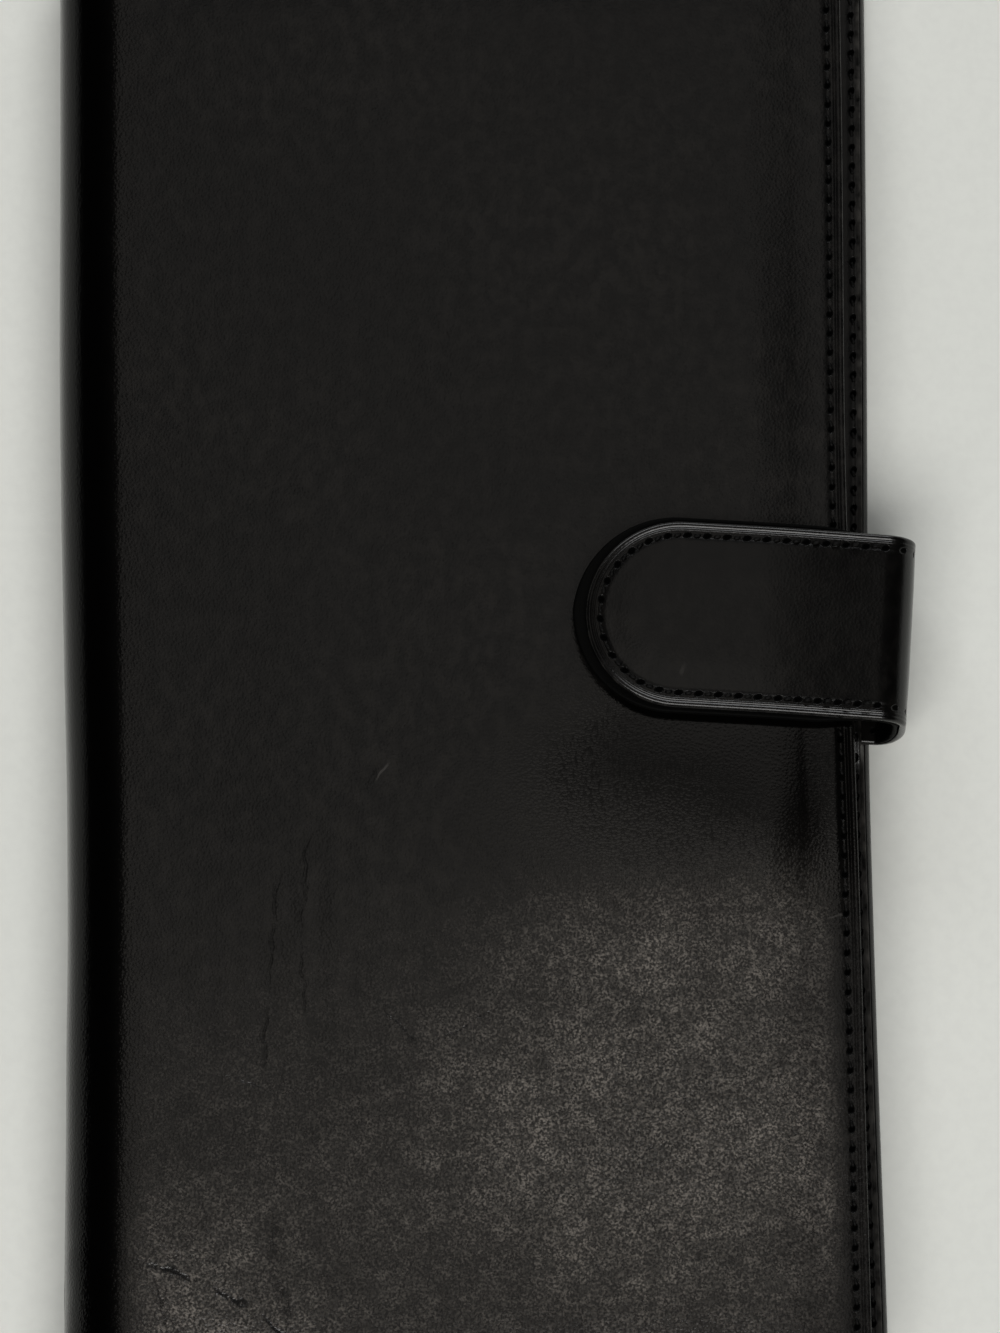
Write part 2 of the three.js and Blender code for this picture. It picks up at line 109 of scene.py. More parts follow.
# Strap, in its own frame: u outwards from the back fore-edge, v along it
STRAP_ORIGIN = (59.573, 3.0)
STRAP_COS, STRAP_SIN = math.cos(math.radians(4.2)), math.sin(math.radians(4.2))
STRAP_HALF = 14.6
STRAP_BEND = 4.7
STRAP_BEND_U = 0.9
STRAP_MIDDLE = 12.425
STRAP_TOP = 22.85
STRAP_LEATHER = 1.2
STRAP_LINING = 0.9
STRAP_LINING_DEPTH = 1.3
RISER = STRAP_TOP - STRAP_BEND - STRAP_MIDDLE
BEND_LENGTH = STRAP_BEND * math.pi / 2
SNAP_U = -30.0
SNAP_HOLE = 7.9  # radius of the hole for the snap in the front leather
ROOT_END = -6.0
STRAP_SAG, SAG_START_U = 1.4, -19.0  # how far the strap sinks toward its bend, and from where
TAB_SEAM = 2 * (STRAP_BEND_U - SNAP_U) + (STRAP_HALF - SEAM_INSET) * math.pi
TAB_STEPS = np.array(
    [0, 0.05, 0.14, 0.28, 0.42, 0.56, 0.7, 0.84, 0.98, 1.12, 1.26, 1.4, 1.55, 1.7, 1.9, 2.1, 2.3]
    + [2.5, 2.75, 3.1, 3.6, 4.3, 5.2, 6.3, 7.6, 9.0, 10.5, 12.0, 13.3, 14.6]
)
# The lining's wide lip at the tip, near-black and almost without gloss, is partly the lining's edge and
# partly painted shade under the tab's tip.
LINING_LIP = (0.9, 2.0, 0.7)  # how far the tab's lining stands out: above, at the tip, below

# Pockets
POCKET_HALF = 107.3
POCKET_RIGHT = {"front": 47.573, "back": 50.873}
POCKET_CORNER = 3.0
NOTCH = 11.0
CARD_SLOTS, CARD_HIGH, CARD_STEP, CARD_DIP = 4, 112, 15, 2.5
SHEET_ROUND = 0.24  # radius of a pocket sheet's edges
SHARP = math.radians(35)
LATHE_STEPS = 72

# Lamps: name, place, aim, size, power and colour
LAMPS = [
    ("near", (0.0, -1.25, 1.9), (0, 0, 0), (2.2, 1.1), 53, (1.0, 0.99, 0.97)),
    ("far", (0.0, 1.75, 1.3), (0, 0, 0), (2.2, 0.7), 26, (0.98, 0.99, 1.0)),
    ("ceiling", (0.045, 0.52, 1.5), (0.045, 0.52, 0), (0.45, 0.42), 0.23, (1.0, 0.95, 0.89)),
    ("low_ceiling", (0.02, 0.148, 1.5), (0.02, 0.148, 0), (0.36, 0.235), 0.17, (1.0, 0.95, 0.88)),
]

# Photograph's view
CAMERA_PLACE = (0.00177, -0.393514, 1.816741)
CAMERA_RIGHT = (0.999889, -0.014580, -0.003176)
CAMERA_UP = (0.014922, 0.976974, 0.212836)
CAMERA_BACK = (0.0, -0.212860, 0.977082)
LENS = 323.06


# Numbers


def smooth(low, high, value):
    t = np.clip((value - low) / (high - low), 0, 1)
    return t * t * (3 - 2 * t)


def ridge(value, width):
    return np.exp(-((value / width) ** 2))


def along(table, value):
    places, sizes = zip(*table)
    return np.mean([np.interp(value + shift, places, sizes) for shift in (-14, -7, 0, 7, 14)], axis=0)


def waves(x, y, cell, seed):
    """Smooth random waves between -1 and 1, about cell apart."""
    table = np.random.default_rng(seed).uniform(-1, 1, (64, 64))
    gx, gy = x / cell, y / cell
    ix, iy = np.floor(gx).astype(int), np.floor(gy).astype(int)
    fx, fy = smooth(0, 1, gx - ix), smooth(0, 1, gy - iy)

    def row(at):
        return table[ix % 64, at % 64] * (1 - fx) + table[(ix + 1) % 64, at % 64] * fx

    return row(iy) * (1 - fy) + row(iy + 1) * fy


def stacked(*parts):
    """Arrays, brought to one shape and joined along a new last axis."""
    return np.stack(np.broadcast_arrays(*parts), -1)


def edge_round(distance, radius):
    inward = np.clip(radius - distance, 0, radius)
    return radius - np.sqrt(radius**2 - inward**2)


def turned_edge(distance):
    """How far the inside of a cover has dropped at a distance from its turned edge."""
    share = np.clip(1 - distance / TURN_WIDTH, 0, 1)
    return TURN_DROP * (1 - np.sqrt(1 - share**2))


def distance_to(x, y, start, end):
    """Distance to a straight line between two points, and the share of the way along it."""
    x, y, run, rise = x - start[0], y - start[1], end[0] - start[0], end[1] - start[1]
    share = np.clip((x * run + y * rise) / (run**2 + rise**2), 0, 1)
    return np.hypot(x - share * run, y - share * rise), share


# Meshes


def grid_faces(rows, columns, first, flip):
    index = first + np.arange(rows * columns).reshape(rows, columns)
    corners = [index[:-1, :-1], index[1:, :-1], index[1:, 1:], index[:-1, 1:]]
    quads = np.stack(corners, -1).reshape(-1, 4)
    return quads[:, ::-1] if flip else quads


def wall_faces(outer, inner, flip):
    quads = stacked(outer[:-1], inner[:-1], inner[1:], outer[1:])
    return quads[:, ::-1] if flip else quads


def add_object(name, data):
    made = bpy.data.objects.new(name, data)
    bpy.context.scene.collection.objects.link(made)
    return made


def finish_mesh(name, vertices, faces, maps, material, body=None, weld=True):
    """A smooth object from arrays of millimetre vertices and of quads, and maps given per vertex."""
    mesh = bpy.data.meshes.new(name)
    mesh.from_pydata((np.concatenate(vertices) * 0.001).tolist(), [], np.concatenate(faces).tolist())
    corner = np.empty(len(mesh.loops), int)
    mesh.loops.foreach_get("vertex_index", corner)
    for key, values in maps.items():
        layer = mesh.uv_layers.new(name=key)
        layer.data.foreach_set("uv", values[corner].astype(np.float32).ravel())
    if weld:
        work = bmesh.new()
        work.from_mesh(mesh)
        bmesh.ops.remove_doubles(work, verts=work.verts, dist=2e-6)
        bmesh.ops.recalc_face_normals(work, faces=work.faces)
        work.to_mesh(mesh)
        work.free()
    mesh.shade_smooth()
    mesh.materials.append(material)
    piece = add_object(name, mesh)
    if body:
        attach(piece, body)
    return piece


def shell(name, patches, material, keep=None):
    """One skin with thickness from grids of outer and inner points, walled on the named sides."""
    vertices, faces, maps, first = [], [], {}, 0
    for outer, inner, patch_maps, walls in patches:
        rows, columns = outer.shape[:2]
        count = rows * columns
        vertices += [outer.reshape(-1, 3), inner.reshape(-1, 3)]
        for key, values in patch_maps.items():
            maps.setdefault(key, []).extend([values.reshape(-1, 2)] * 2)
        faces += [grid_faces(rows, columns, first, False), grid_faces(rows, columns, first + count, True)]
        top = first + np.arange(count).reshape(rows, columns)
        low = top + count
        sides = {
            "start": (top[0], low[0], False),
            "end": (top[-1], low[-1], True),
            "left": (top[:, 0], low[:, 0], True),
            "right": (top[:, -1], low[:, -1], False),
        }
        faces += [wall_faces(*sides[side]) for side in walls]
        first += 2 * count
    if keep:
        quads = np.concatenate(faces)
        faces = [quads[keep(np.concatenate(vertices)[quads].mean(1))]]
    maps = {key: np.concatenate(values) for key, values in maps.items()}
    return finish_mesh(name, vertices, faces, maps, material)


def lathe(name, profile, centre, material, body):
    """A turned piece from radius and height pairs, round an upright line through a place."""
    profile = np.array(profile)
    angle = np.linspace(0, 2 * math.pi, LATHE_STEPS + 1)[:, None]
    x = centre[0] + profile[:, 0] * np.cos(angle)
    y = centre[1] + profile[:, 0] * np.sin(angle)
    points = stacked(x, y, profile[:, 1])
    faces = grid_faces(LATHE_STEPS + 1, len(profile), 0, False)
    return finish_mesh(name, [points.reshape(-1, 3)], [faces], {}, material, body)


def rounded(points, radius, steps=4):
    """A closed profile of radius and height with its corners rounded."""
    result = []
    count = len(points)
    for i in range(count):
        p, before, after = (np.array(points[j % count], float) for j in (i, i - 1, i + 1))
        if p[0] == 0:
            result.append(tuple(p))
            continue
        a, b = (p + (q - p) * min(radius / np.linalg.norm(q - p), 0.45) for q in (before, after))
        for t in np.linspace(0, 1, steps + 1):
            result.append(tuple((1 - t) ** 2 * a + 2 * t * (1 - t) * p + t**2 * b))
    return result


def resample(path, pitch, margin=0.0):
    """Evenly spaced points along a line of points, with their directions."""
    path = np.asarray(path, float)
    length = np.concatenate([[0], np.cumsum(np.linalg.norm(np.diff(path, axis=0), axis=1))])
    count = max(1, int(round((length[-1] - 2 * margin) / pitch)))
    at = margin + (np.arange(count) + 0.5) * (length[-1] - 2 * margin) / count

    def place(where):
        return stacked(*(np.interp(where, length, column) for column in path.T))

    direction = place(at + 0.2) - place(at - 0.2)
    return place(at), direction / np.linalg.norm(direction, axis=1)[:, None]


def sewn_run(path, up, pitch=PITCH, margin=0.0):
    """Places and directions of the stitches along a path, and which way is out."""
    return (*resample(path, pitch, margin), (0, 0, up))


def evened(x, y, count):
    """The same line through evenly spaced points."""
    steps = np.concatenate([[0], np.cumsum(np.hypot(np.diff(x), np.diff(y)))])
    at = np.linspace(0, steps[-1], count)
    return np.interp(at, steps, x), np.interp(at, steps, y)


def stitches(name, runs, body, length=1.4, radius=0.26, slant=0.3, rise=0.12, sink=0.34):
    """Short threads that rise out of one hole and dive into the next, one for each point of a run."""
    around, rings = 8, 9
    share = np.linspace(-1, 1, rings)
    size = radius * np.sqrt(np.clip(1 - np.abs(share) ** 6 * 0.75, 0.05, 1))[:, None]
    height = (rise - (rise + sink) * np.abs(share) ** 3)[:, None]
    angle = np.linspace(0, 2 * math.pi, around, endpoint=False)
    run = (share * length / 2)[:, None, None]
    lift = (height + size * np.sin(angle) * 0.8)[..., None]
    swell = (size * np.cos(angle))[..., None]
    vertices, faces, first = [], [], 0
    jitter = np.random.default_rng(7)
    for points, direction, normal in runs:
        normal = np.broadcast_to(normal, points.shape)
        across = np.cross(normal, direction)
        turn = slant + jitter.uniform(-0.05, 0.05, (len(points), 1))
        forward = direction * np.cos(turn) + across * np.sin(turn)
        sideways = np.cross(normal, forward)
        at, forward, normal, sideways = (a[:, None, None] for a in (points, forward, normal, sideways))
        vertices.append((at + forward * run + normal * lift + sideways * swell).reshape(-1, 3))
        one = grid_faces(rings, around + 1, 0, False)
        one = one // (around + 1) * around + one % (around + 1) % around
        every = one[None] + (first + np.arange(len(points)) * rings * around)[:, None, None]
        faces.append(every.reshape(-1, 4))
        first += len(points) * rings * around
    piece = finish_mesh(name, vertices, faces, {}, thread, body, weld=False)
    return piece


# Materials


class Finish:
    """The nodes of a material or a world, built up from small steps."""

    def __init__(self, name, kind=bpy.data.materials, shader="Principled BSDF", **constants):
        self.owner = kind.new(name)
        self.owner.use_nodes = True
        self.tree = self.owner.node_tree
        self.shader = self.tree.nodes[shader]
        for key, value in constants.items():
            self.shader.inputs[key.replace("_", " ")].default_value = value

    def node(self, kind, inputs, **settings):
        made = self.tree.nodes.new(kind)
        for key, value in settings.items():
            setattr(made, key, value)
        for key, value in inputs.items():
            if isinstance(value, bpy.types.NodeSocket):
                self.tree.links.new(value, made.inputs[key])
            else:
                made.inputs[key].default_value = value
        return made

    def math(self, operation, a, b=0.0, c=0.0):
        return self.node("ShaderNodeMath", {0: a, 1: b, 2: c}, operation=operation).outputs[0]

    def less(self, a, b):
        return self.math("SUBTRACT", a, b)

    def times(self, a, b):
        return self.math("MULTIPLY", a, b)

    def times_plus(self, a, b, c):
        return self.math("MULTIPLY_ADD", a, b, c)

    def wandering(self, vector, scale, amount):
        """A vector moved by up to an amount, after coloured noise."""
        inputs = {"Vector": vector, "Scale": scale, "Detail": 1.0}
        colour = self.node("ShaderNodeTexNoise", inputs).outputs["Color"]
        inputs = {0: colour, 1: (amount, amount, amount), 2: vector}
        return self.node("ShaderNodeVectorMath", inputs, operation="MULTIPLY_ADD").outputs[0]

    def span(self, value, low, high, to_low=0.0, to_high=1.0):
        inputs = {"Value": value, "From Min": low, "From Max": high, "To Min": to_low, "To Max": to_high}
        made = self.node("ShaderNodeMapRange", inputs, interpolation_type="SMOOTHSTEP")
        return made.outputs["Result"]

    def map(self, name):
        return self.node("ShaderNodeUVMap", {}, uv_map=name).outputs["UV"]

    def place(self, kind="Object"):
        return self.node("ShaderNodeTexCoord", {}).outputs[kind]

    def stretched(self, vector, x, y, z=1.0):
        return self.node("ShaderNodeMapping", {"Vector": vector, "Scale": (x, y, z)}).outputs[0]

    def parts(self, vector):
        return self.node("ShaderNodeSeparateXYZ", {"Vector": vector}).outputs

    def noise(self, vector, scale, detail=3.0, roughness=0.5):
        inputs = {"Vector": vector, "Scale": scale, "Detail": detail, "Roughness": roughness}
        return self.node("ShaderNodeTexNoise", inputs).outputs["Fac"]

    def mix(self, share, a, b):
        a, b = ((*tone, 1) if isinstance(tone, tuple) else tone for tone in (a, b))
        return self.node("ShaderNodeMix", {0: share, 6: a, 7: b}, data_type="RGBA").outputs[2]

    def bump(self, height, distance, normal=None):
        inputs = {"Height": height, "Distance": distance * 0.001, "Strength": 1.0}
        if normal is not None:
            inputs["Normal"] = normal
        return self.node("ShaderNodeBump", inputs).outputs[0]

    def set(self, socket, value):
        self.tree.links.new(value, self.shader.inputs[socket])

    def finished(self, colour, roughness, normal):
        self.set("Base Color", colour)
        self.set("Roughness", roughness)
        self.set("Normal", normal)
        return self.owner


def zone(f, x, y, middle, reach):
    """1 in the middle of an oval field of the map, fading to 0 at its reach."""
    across = f.math("DIVIDE", f.less(x, middle[0]), reach[0])
    up = f.math("DIVIDE", f.less(y, middle[1]), reach[1])
    square = f.math("ADD", f.times(across, across), f.times(up, up))
    return f.span(f.math("SQRT", square), 1.15, 0.15)


def scuff(f, x, y, start, end, width):
    """1 along a short mark between two points of the bent map, 0 away from it."""
    length = math.dist(start, end)
    cos, sin = (end[0] - start[0]) / length, (end[1] - start[1]) / length
    x = f.less(x, (start[0] + end[0]) / 2 + MARK_BEND / 2)
    y = f.less(y, (start[1] + end[1]) / 2 + MARK_BEND / 2)
    run = f.times_plus(x, cos, f.times(y, sin))
    aside = f.times_plus(y, cos, f.times(x, -sin))
    thin = f.span(f.math("ABSOLUTE", aside), width, width * 0.2)
    return f.times(thin, f.span(f.math("ABSOLUTE", run), length / 2, length * 0.2))


def seam_holes(f):
    """Needle holes, once in each stitch length along the seam map."""
    x, y, _ = f.parts(f.map("seam"))
    step = f.less(f.math("FRACT", f.math("ADD", x, 0.5)), 0.5)
    lean = f.times_plus(step, -0.5, y)
    run = f.times(step, PITCH / HOLE_HALF_LENGTH)
    aside = f.math("DIVIDE", lean, HOLE_HALF_WIDTH)
    return f.span(f.math("ADD", f.math("POWER", run, 2.0), f.math("POWER", aside, 2.0)), 1.5, 0.5)


def field_effects(f, at, fields, rough, bloom_with_painted_shade):
    """Roughness, bloom with its painted shade, painted sheen and depth of the grain after the oval fields
    of the map.
    """
    x, y, _ = f.parts(at)
    x = f.times_plus(f.noise(at, 0.03, 0.5), 14.0, f.less(x, 7.0))
    y = f.times_plus(f.noise(f.stretched(at, 1, 1.3), 0.04, 0.5), 9.0, f.less(y, 4.5))
    pressed, painted_sheen = 1.0, 0.0
    for middle, reach, change, deeper in fields:
        field = zone(f, x, y, middle, reach)
        rough = f.times_plus(field, min(change, 0.0), rough)
        pressed = f.math("MAXIMUM", f.times_plus(field, deeper, pressed), 0.2)
        # A field above 0 adds painted sheen: a paler tone standing in for glare.
        painted_sheen = f.times_plus(field, max(change, 0.0), painted_sheen)
        # A polished field (below 0) also takes the bloom away: painted shade under the tab.
        bloom_with_painted_shade = f.times(bloom_with_painted_shade, f.times_plus(field, min(change * 6, 0.0), 1.0))
    return rough, bloom_with_painted_shade, painted_sheen, pressed


def painted_sheen_tone(f, at, tone, painted_sheen, pebbled, cell):
    """The tone with a painted sheen: a paler ground and bright painted glints, standing in for glare on
    the cover.
    """
    fleck = f.span(f.noise(pebbled, 2.6, 3.0, 0.6), 0.42, 0.7)
    fleck = f.times(fleck, f.span(f.noise(at, 0.35, 4.0, 0.65), 0.3, 0.7, 0.3, 1.2))
    patchy = f.span(f.noise(at, 0.1, 4.0, 0.6), 0.25, 0.75, 0.8, 1.15)
    painted_sheen = f.times(f.math("MINIMUM", painted_sheen, 1.0), patchy)
    tone = f.mix(f.times(painted_sheen, f.span(cell, 0.0, 0.6, 0.07, 0.15)), tone, PAINTED_SHEEN_TONE)
    return f.mix(f.times(f.times(painted_sheen, painted_sheen), fleck), tone, PAINTED_GLINT_TONE)


def marked(f, at, marks, fibre):
    """How strong the pale scuffs and the dark marks are; the dark marks are painted shade in creases and
    a nick. A mark has a start, end, width and strength.
    """
    bent_x, bent_y, _ = f.parts(f.wandering(at, 0.28, MARK_BEND))
    pale, dark = 0.0, 0.0
    for start, end, width, strength in marks:
        mark = scuff(f, bent_x, bent_y, start, end, width)
        if strength > 0:
            pale = f.times_plus(mark, strength, pale)
        else:
            dark = f.times_plus(mark, -strength, dark)
    return f.math("MINIMUM", pale, 1.0), f.times(dark, f.span(fibre, 0.35, 0.5))


def leather(name, colour, roughness, depth, grain=0.48, rim_wear_and_highlight=0.0, rim=(-1.8, -2.1), holes=True,
            gloss=0.4, bloomed=0.0034, fields=(), marks=(), roll=0.0):
    """Pebbled leather on a map in millimetres. The roll beside the spine is smoother, and its tone and
    sheen are darkened as a painted dark reflection.
    """
    f = Finish(name, Specular_IOR_Level=gloss)
    at = f.map("grain")
    along_cover = f.parts(at)[0]
    mottle = f.noise(f.stretched(at, 1.0, 0.7), 0.4, 5.0, 0.65)
    pebbled = f.wandering(at, 1.6, 0.25)
    cells = f.node("ShaderNodeTexVoronoi", {"Vector": pebbled, "Scale": 1 / grain})
    cell = f.span(cells.outputs["Distance"], 0.75, 0.1)
    fine = f.noise(at, 2.6 / grain, 3.0, 0.6)
    fibre = f.noise(f.stretched(at, 1.0, 0.45), 0.9, 3.0, 0.6)
    rough = f.times_plus(f.less(mottle, 0.5), 0.05, roughness)
    broad = f.span(f.noise(at, 0.024, 1.0), 0.3, 0.7, 0.6, 1.4)
    bloom_with_painted_shade = f.times(f.span(mottle, 0.38, 0.72), broad)
    if roll:
        rolled = f.span(along_cover, 19.0, 12.0)
        flat = f.less(1.0, rolled)
        rough = f.times_plus(rolled, -roll, rough)
        # No bloom on the roll: its tone is kept black as a painted dark reflection of the spine.
        bloom_with_painted_shade = f.times(bloom_with_painted_shade, flat)
    rough, bloom_with_painted_shade, painted_sheen, pressed = field_effects(f, at, fields, rough, bloom_with_painted_shade)
    rough = f.math("MAXIMUM", rough, SMOOTHEST)
    tone = f.mix(bloom_with_painted_shade, colour, tuple(c + bloomed * share for c, share in zip(colour, BLOOM_TINT)))
    # Painted sheen and glints on the lower cover, left off the roll and weaker near the fore-edge.
    if fields:
        painted_sheen = f.times(f.times(painted_sheen, flat), f.span(along_cover, 125.2, 121.5, 0.2, 1.0))
        tone = painted_sheen_tone(f, at, tone, painted_sheen, pebbled, cell)
    height = f.times_plus(fine, 0.3, cell)
    height = f.times_plus(fibre, 0.35, height)
    normal = f.bump(f.times(height, pressed), depth)
    if marks:
        pale, dark = marked(f, at, marks, fibre)
        # Dark marks take the tone back to the bare black: painted shade in creases.
        tone = f.mix(f.math("MINIMUM", dark, 1.0), f.mix(pale, tone, SCUFF_TONE), colour)
        normal = f.bump(dark, -0.06, normal)
    if rim_wear_and_highlight:
        # Paler band along the rims: partly edge wear, partly a painted highlight on the rounded rim.
        rim_wear_and_highlight_band = f.times(f.span(f.parts(f.map("seam"))[1], *rim), f.span(mottle, 0.35, 0.7))
        tone = f.mix(f.times(rim_wear_and_highlight_band, rim_wear_and_highlight), tone, RIM_WEAR_AND_HIGHLIGHT_TONE)
    if holes:
        painted_hole_and_roll_shade = seam_holes(f)
        normal = f.bump(painted_hole_and_roll_shade, -0.35, normal)
        # Painted shade in the needle holes: a near-black tone, and Metallic with it takes away their
        # sheen.
        tone = f.mix(painted_hole_and_roll_shade, tone, (0.001, 0.001, 0.001))
        rough = f.times_plus(painted_hole_and_roll_shade, 0.5, rough)
        # Part metal on the roll, with its black tone, dims its reflections: a painted dark reflection.
        if roll:
            painted_hole_and_roll_shade = f.math("MAXIMUM", painted_hole_and_roll_shade, f.times(f.span(along_cover, 15.5, 11.0), 0.6))
        f.set("Metallic", painted_hole_and_roll_shade)
    return f.finished(tone, rough, normal)


def thread_finish():
    f = Finish("black_thread", Specular_IOR_Level=0.07)
    at = f.place()
    twist = f.noise(f.stretched(at, 1800, 900, 1800), 1.0, 2.0)
    tone = f.mix(f.span(twist, 0.3, 0.7), (0.001, 0.001, 0.001), (0.004, 0.0038, 0.0036))
    return f.finished(tone, f.span(twist, 0.2, 0.8, 0.45, 0.6), f.bump(twist, 0.06))


def board_finish():
    f = Finish("grey_board")
    at = f.place()
    fleck = f.noise(at, 2400.0, 4.0, 0.7)
    tone = f.mix(f.times(fleck, f.noise(at, 60.0)), (0.17, 0.13, 0.09), (0.34, 0.28, 0.2))
    return f.finished(tone, f.span(fleck, 0.3, 0.7, 0.8, 0.95), f.bump(fleck, 0.08))


def metal_finish(name, dark, light, roughness):
    f = Finish(name, Metallic=1.0)
    at = f.place()
    brushed = f.noise(f.stretched(at, 900, 5200, 900), 1.0)
    rough = f.times_plus(f.less(brushed, 0.5), 0.25, roughness)
    return f.finished(f.mix(f.noise(at, 320.0), dark, light), rough, f.bump(brushed, 0.006))


def floor_finish():
    f = Finish("pale_floor")
    at = f.place()
    cloud = f.noise(at, 9.0, 4.0, 0.55)
    speck = f.noise(at, 420.0, 3.0, 0.6)
    tone = f.mix(f.span(cloud, 0.3, 0.7), (0.605, 0.615, 0.582), (0.625, 0.632, 0.598))
    tone = f.mix(f.span(speck, 0.35, 0.7, 0.0, 0.25), tone, (0.56, 0.565, 0.54))
    return f.finished(tone, f.span(speck, 0.3, 0.7, 0.7, 0.85), f.bump(speck, 0.08))


BLACK = (0.0008, 0.00072, 0.00065)
BLOOM_TINT = (1.0, 0.88, 0.76)
# Painted sheen: the paler ground and the glints standing in for glare on the lower cover.
PAINTED_SHEEN_TONE = (0.14, 0.13, 0.118)
PAINTED_GLINT_TONE = (0.13, 0.117, 0.103)
SCUFF_TONE = (0.06, 0.056, 0.052)
# Paler rim band: partly edge wear, partly painted highlight.
RIM_WEAR_AND_HIGHLIGHT_TONE = (0.05, 0.047, 0.043)
SMOOTHEST = 0.09
MARK_BEND = 2.4  # how far the marks wander, in millimetres

# Fields of the cover: middle, reach, how strong the painted sheen is (below 0, how polished, with painted
# shade), how much deeper the grain is
COVER_FIELDS = [
    ((98, -67), (46, 43), 0.58, 1.6),
    ((76, -92), (128, 68), 0.6, 1.1),
    ((106, -44), (38, 13), 0.3, 0.6),
    ((25, -103), (24, 24), 0.5, 1.2),
    ((112, -20), (48, 23), -0.3, -0.9),
]

# Pale scuffs (above 0) and painted crease shade (below 0): from, to, width and strength
COVER_MARKS = [
    ((53.6, -19.8), (56.4, -16.6), 0.3, 0.35),
    ((122.6, -41.9), (126.0, -41.2), 0.25, 0.3),
    ((116.2, -52.0), (117.6, -58.5), 0.3, -0.1),
    ((98.0, -2.0), (98.6, -3.0), 0.3, 0.25),
    ((17.3, -93.6), (26.9, -96.8), 0.6, -1.0),
    ((26.9, -96.8), (34.8, -101.7), 0.6, -1.0),
    ((34.8, -101.7), (40.2, -106.3), 0.6, -1.0),
    ((19.1, -95.3), (21.7, -106.3), 0.35, -0.7),
    ((37.6, -84.4), (37.2, -95.3), 1.4, -0.5),
    ((37.2, -95.3), (41.0, -104.3), 1.2, -0.5),
    ((38.8, -31.3), (37.0, -53.3), 0.45, -0.5),
    ((37.0, -53.3), (35.8, -66.2), 0.4, -0.6),
    ((43.7, -25.7), (41.9, -44.2), 0.4, -0.5),
    ((41.9, -44.2), (42.8, -57.2), 0.4, -0.5),
    ((53.8, -53.3), (60.3, -61.5), 0.3, -0.6),
    ((60.3, -61.5), (73.5, -54.2), 0.3, -0.5),
    ((27.8, -64.7), (36.7, -67.1), 0.3, -0.5),
]
TAB_MARKS = [
    ((42.4, -7.6), (43.4, -9.8), 0.45, 0.12),
    ((41.8, -6.2), (43.4, -7.0), 0.35, -0.1),
]
front_leather = leather(
    "front_leather", BLACK, 0.25, 0.012, rim_wear_and_highlight=0.2, fields=COVER_FIELDS, marks=COVER_MARKS, roll=0.1
)
back_leather = leather("back_leather", BLACK, 0.26, 0.012, rim_wear_and_highlight=0.2, roll=0.1)
strap_finish = leather(
    "strap_leather_finish", BLACK, 0.22, 0.006, rim_wear_and_highlight=0.24, gloss=0.36, marks=TAB_MARKS, bloomed=0.002
)
pocket_finish = leather("pocket_leather", (0.006, 0.0057, 0.0053), 0.4, 0.025, grain=0.7, holes=False)
# Its pale rim band stands in for the highlight on the back cover's rounded rim.
lining_finish = leather(
    "lining_leather", (0.0015, 0.0014, 0.0013), 0.28, 0.01, grain=0.5, rim_wear_and_highlight=0.8, rim=(-0.4, -1.1)
)
# Near-black and almost without gloss: partly painted shade for the dark band at the tab's tip.
lining_with_painted_shade = leather(
    "strap_lining_leather", (0.0006, 0.0006, 0.0005), 0.6, 0.015, grain=0.5, gloss=0.03, bloomed=0.0
)
thread = thread_finish()
board = board_finish()
nickel = metal_finish("satin_nickel", (0.5, 0.49, 0.46), (0.68, 0.66, 0.62), 0.24)
magnet = metal_finish("magnet_metal", (0.08, 0.08, 0.085), (0.14, 0.14, 0.15), 0.42)

for node, finish in {
    "back_board": board,
    "front_board": board,
    "snap_magnet": magnet,
    "snap_socket_washer": nickel,
    "snap_stud_washer": nickel,
}.items():
    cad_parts[node].material_slots[0].material = finish


# Covers and their seams


def cover_point(side, s, y, depth):
    """The place at path length s from the spine's mid-line and depth in from the outer face."""
    angle = np.minimum(s / ROLL, math.pi / 2)
    flat = np.maximum(s - QUARTER, 0)
    reach = ROLL - depth
    x = ROLL_X - reach * np.cos(angle) + flat
    z = ROLL + reach * np.sin(angle)
    x = x + along(SPINE_PUSH, y) * (1 - smooth(-62, -25, x))
    x = x + along(BOW[side], y) * smooth(15, FORE_EDGE[side], x)
    if side == "back":
        z = CLOSED - z
    return stacked(x, y, z)


def flat_x(s):
    return s - QUARTER + ROLL_X


def path_length(x):
    return x + QUARTER - ROLL_X


def rim_distance(side, x, y):
    qx = x - (FORE_EDGE[side] - CORNER)
    qy = np.abs(y) - (HALF_HEIGHT - CORNER)
    corner = CORNER - np.hypot(np.maximum(qx, 0), np.maximum(qy, 0))
    return np.where((qx > 0) & (qy > 0), corner, CORNER - np.maximum(qx, qy))


def cover_grid(side, step, inset):
    """Path lengths, x, y, distances from the rim and maps of a cover's grid, close along its rims."""
    end = path_length(FORE_EDGE[side] - inset)
    roll = QUARTER * np.concatenate([[0, 0.01], np.linspace(0.05, 1, 22)])
    flat_end = end - RIM_STEPS[-1]
    middle = np.linspace(QUARTER, flat_end, int((flat_end - QUARTER) / step) + 1)[1:-1]
    s = np.concatenate([roll, middle, end - RIM_STEPS[::-1]])
    half = HALF_HEIGHT - inset
    inner = half - RIM_STEPS[-1]
    rows = np.linspace(-inner, inner, int(2 * inner / step) + 1)[1:-1]
    y = np.concatenate([RIM_STEPS - half, rows, (half - RIM_STEPS)[::-1]])
    corner = CORNER - inset
    past = np.clip(flat_x(s) - (FORE_EDGE[side] - CORNER), 0, corner)
    limit = half - corner + np.sqrt(np.maximum(corner**2 - past**2, 0))
    s, y = np.meshgrid(s, y)
    x, y = flat_x(s), y * (limit / half)
    maps = {"grain": stacked(s, y), "seam": seam_map(side, x, y)}
    return s, x, y, rim_distance(side, x, y), maps


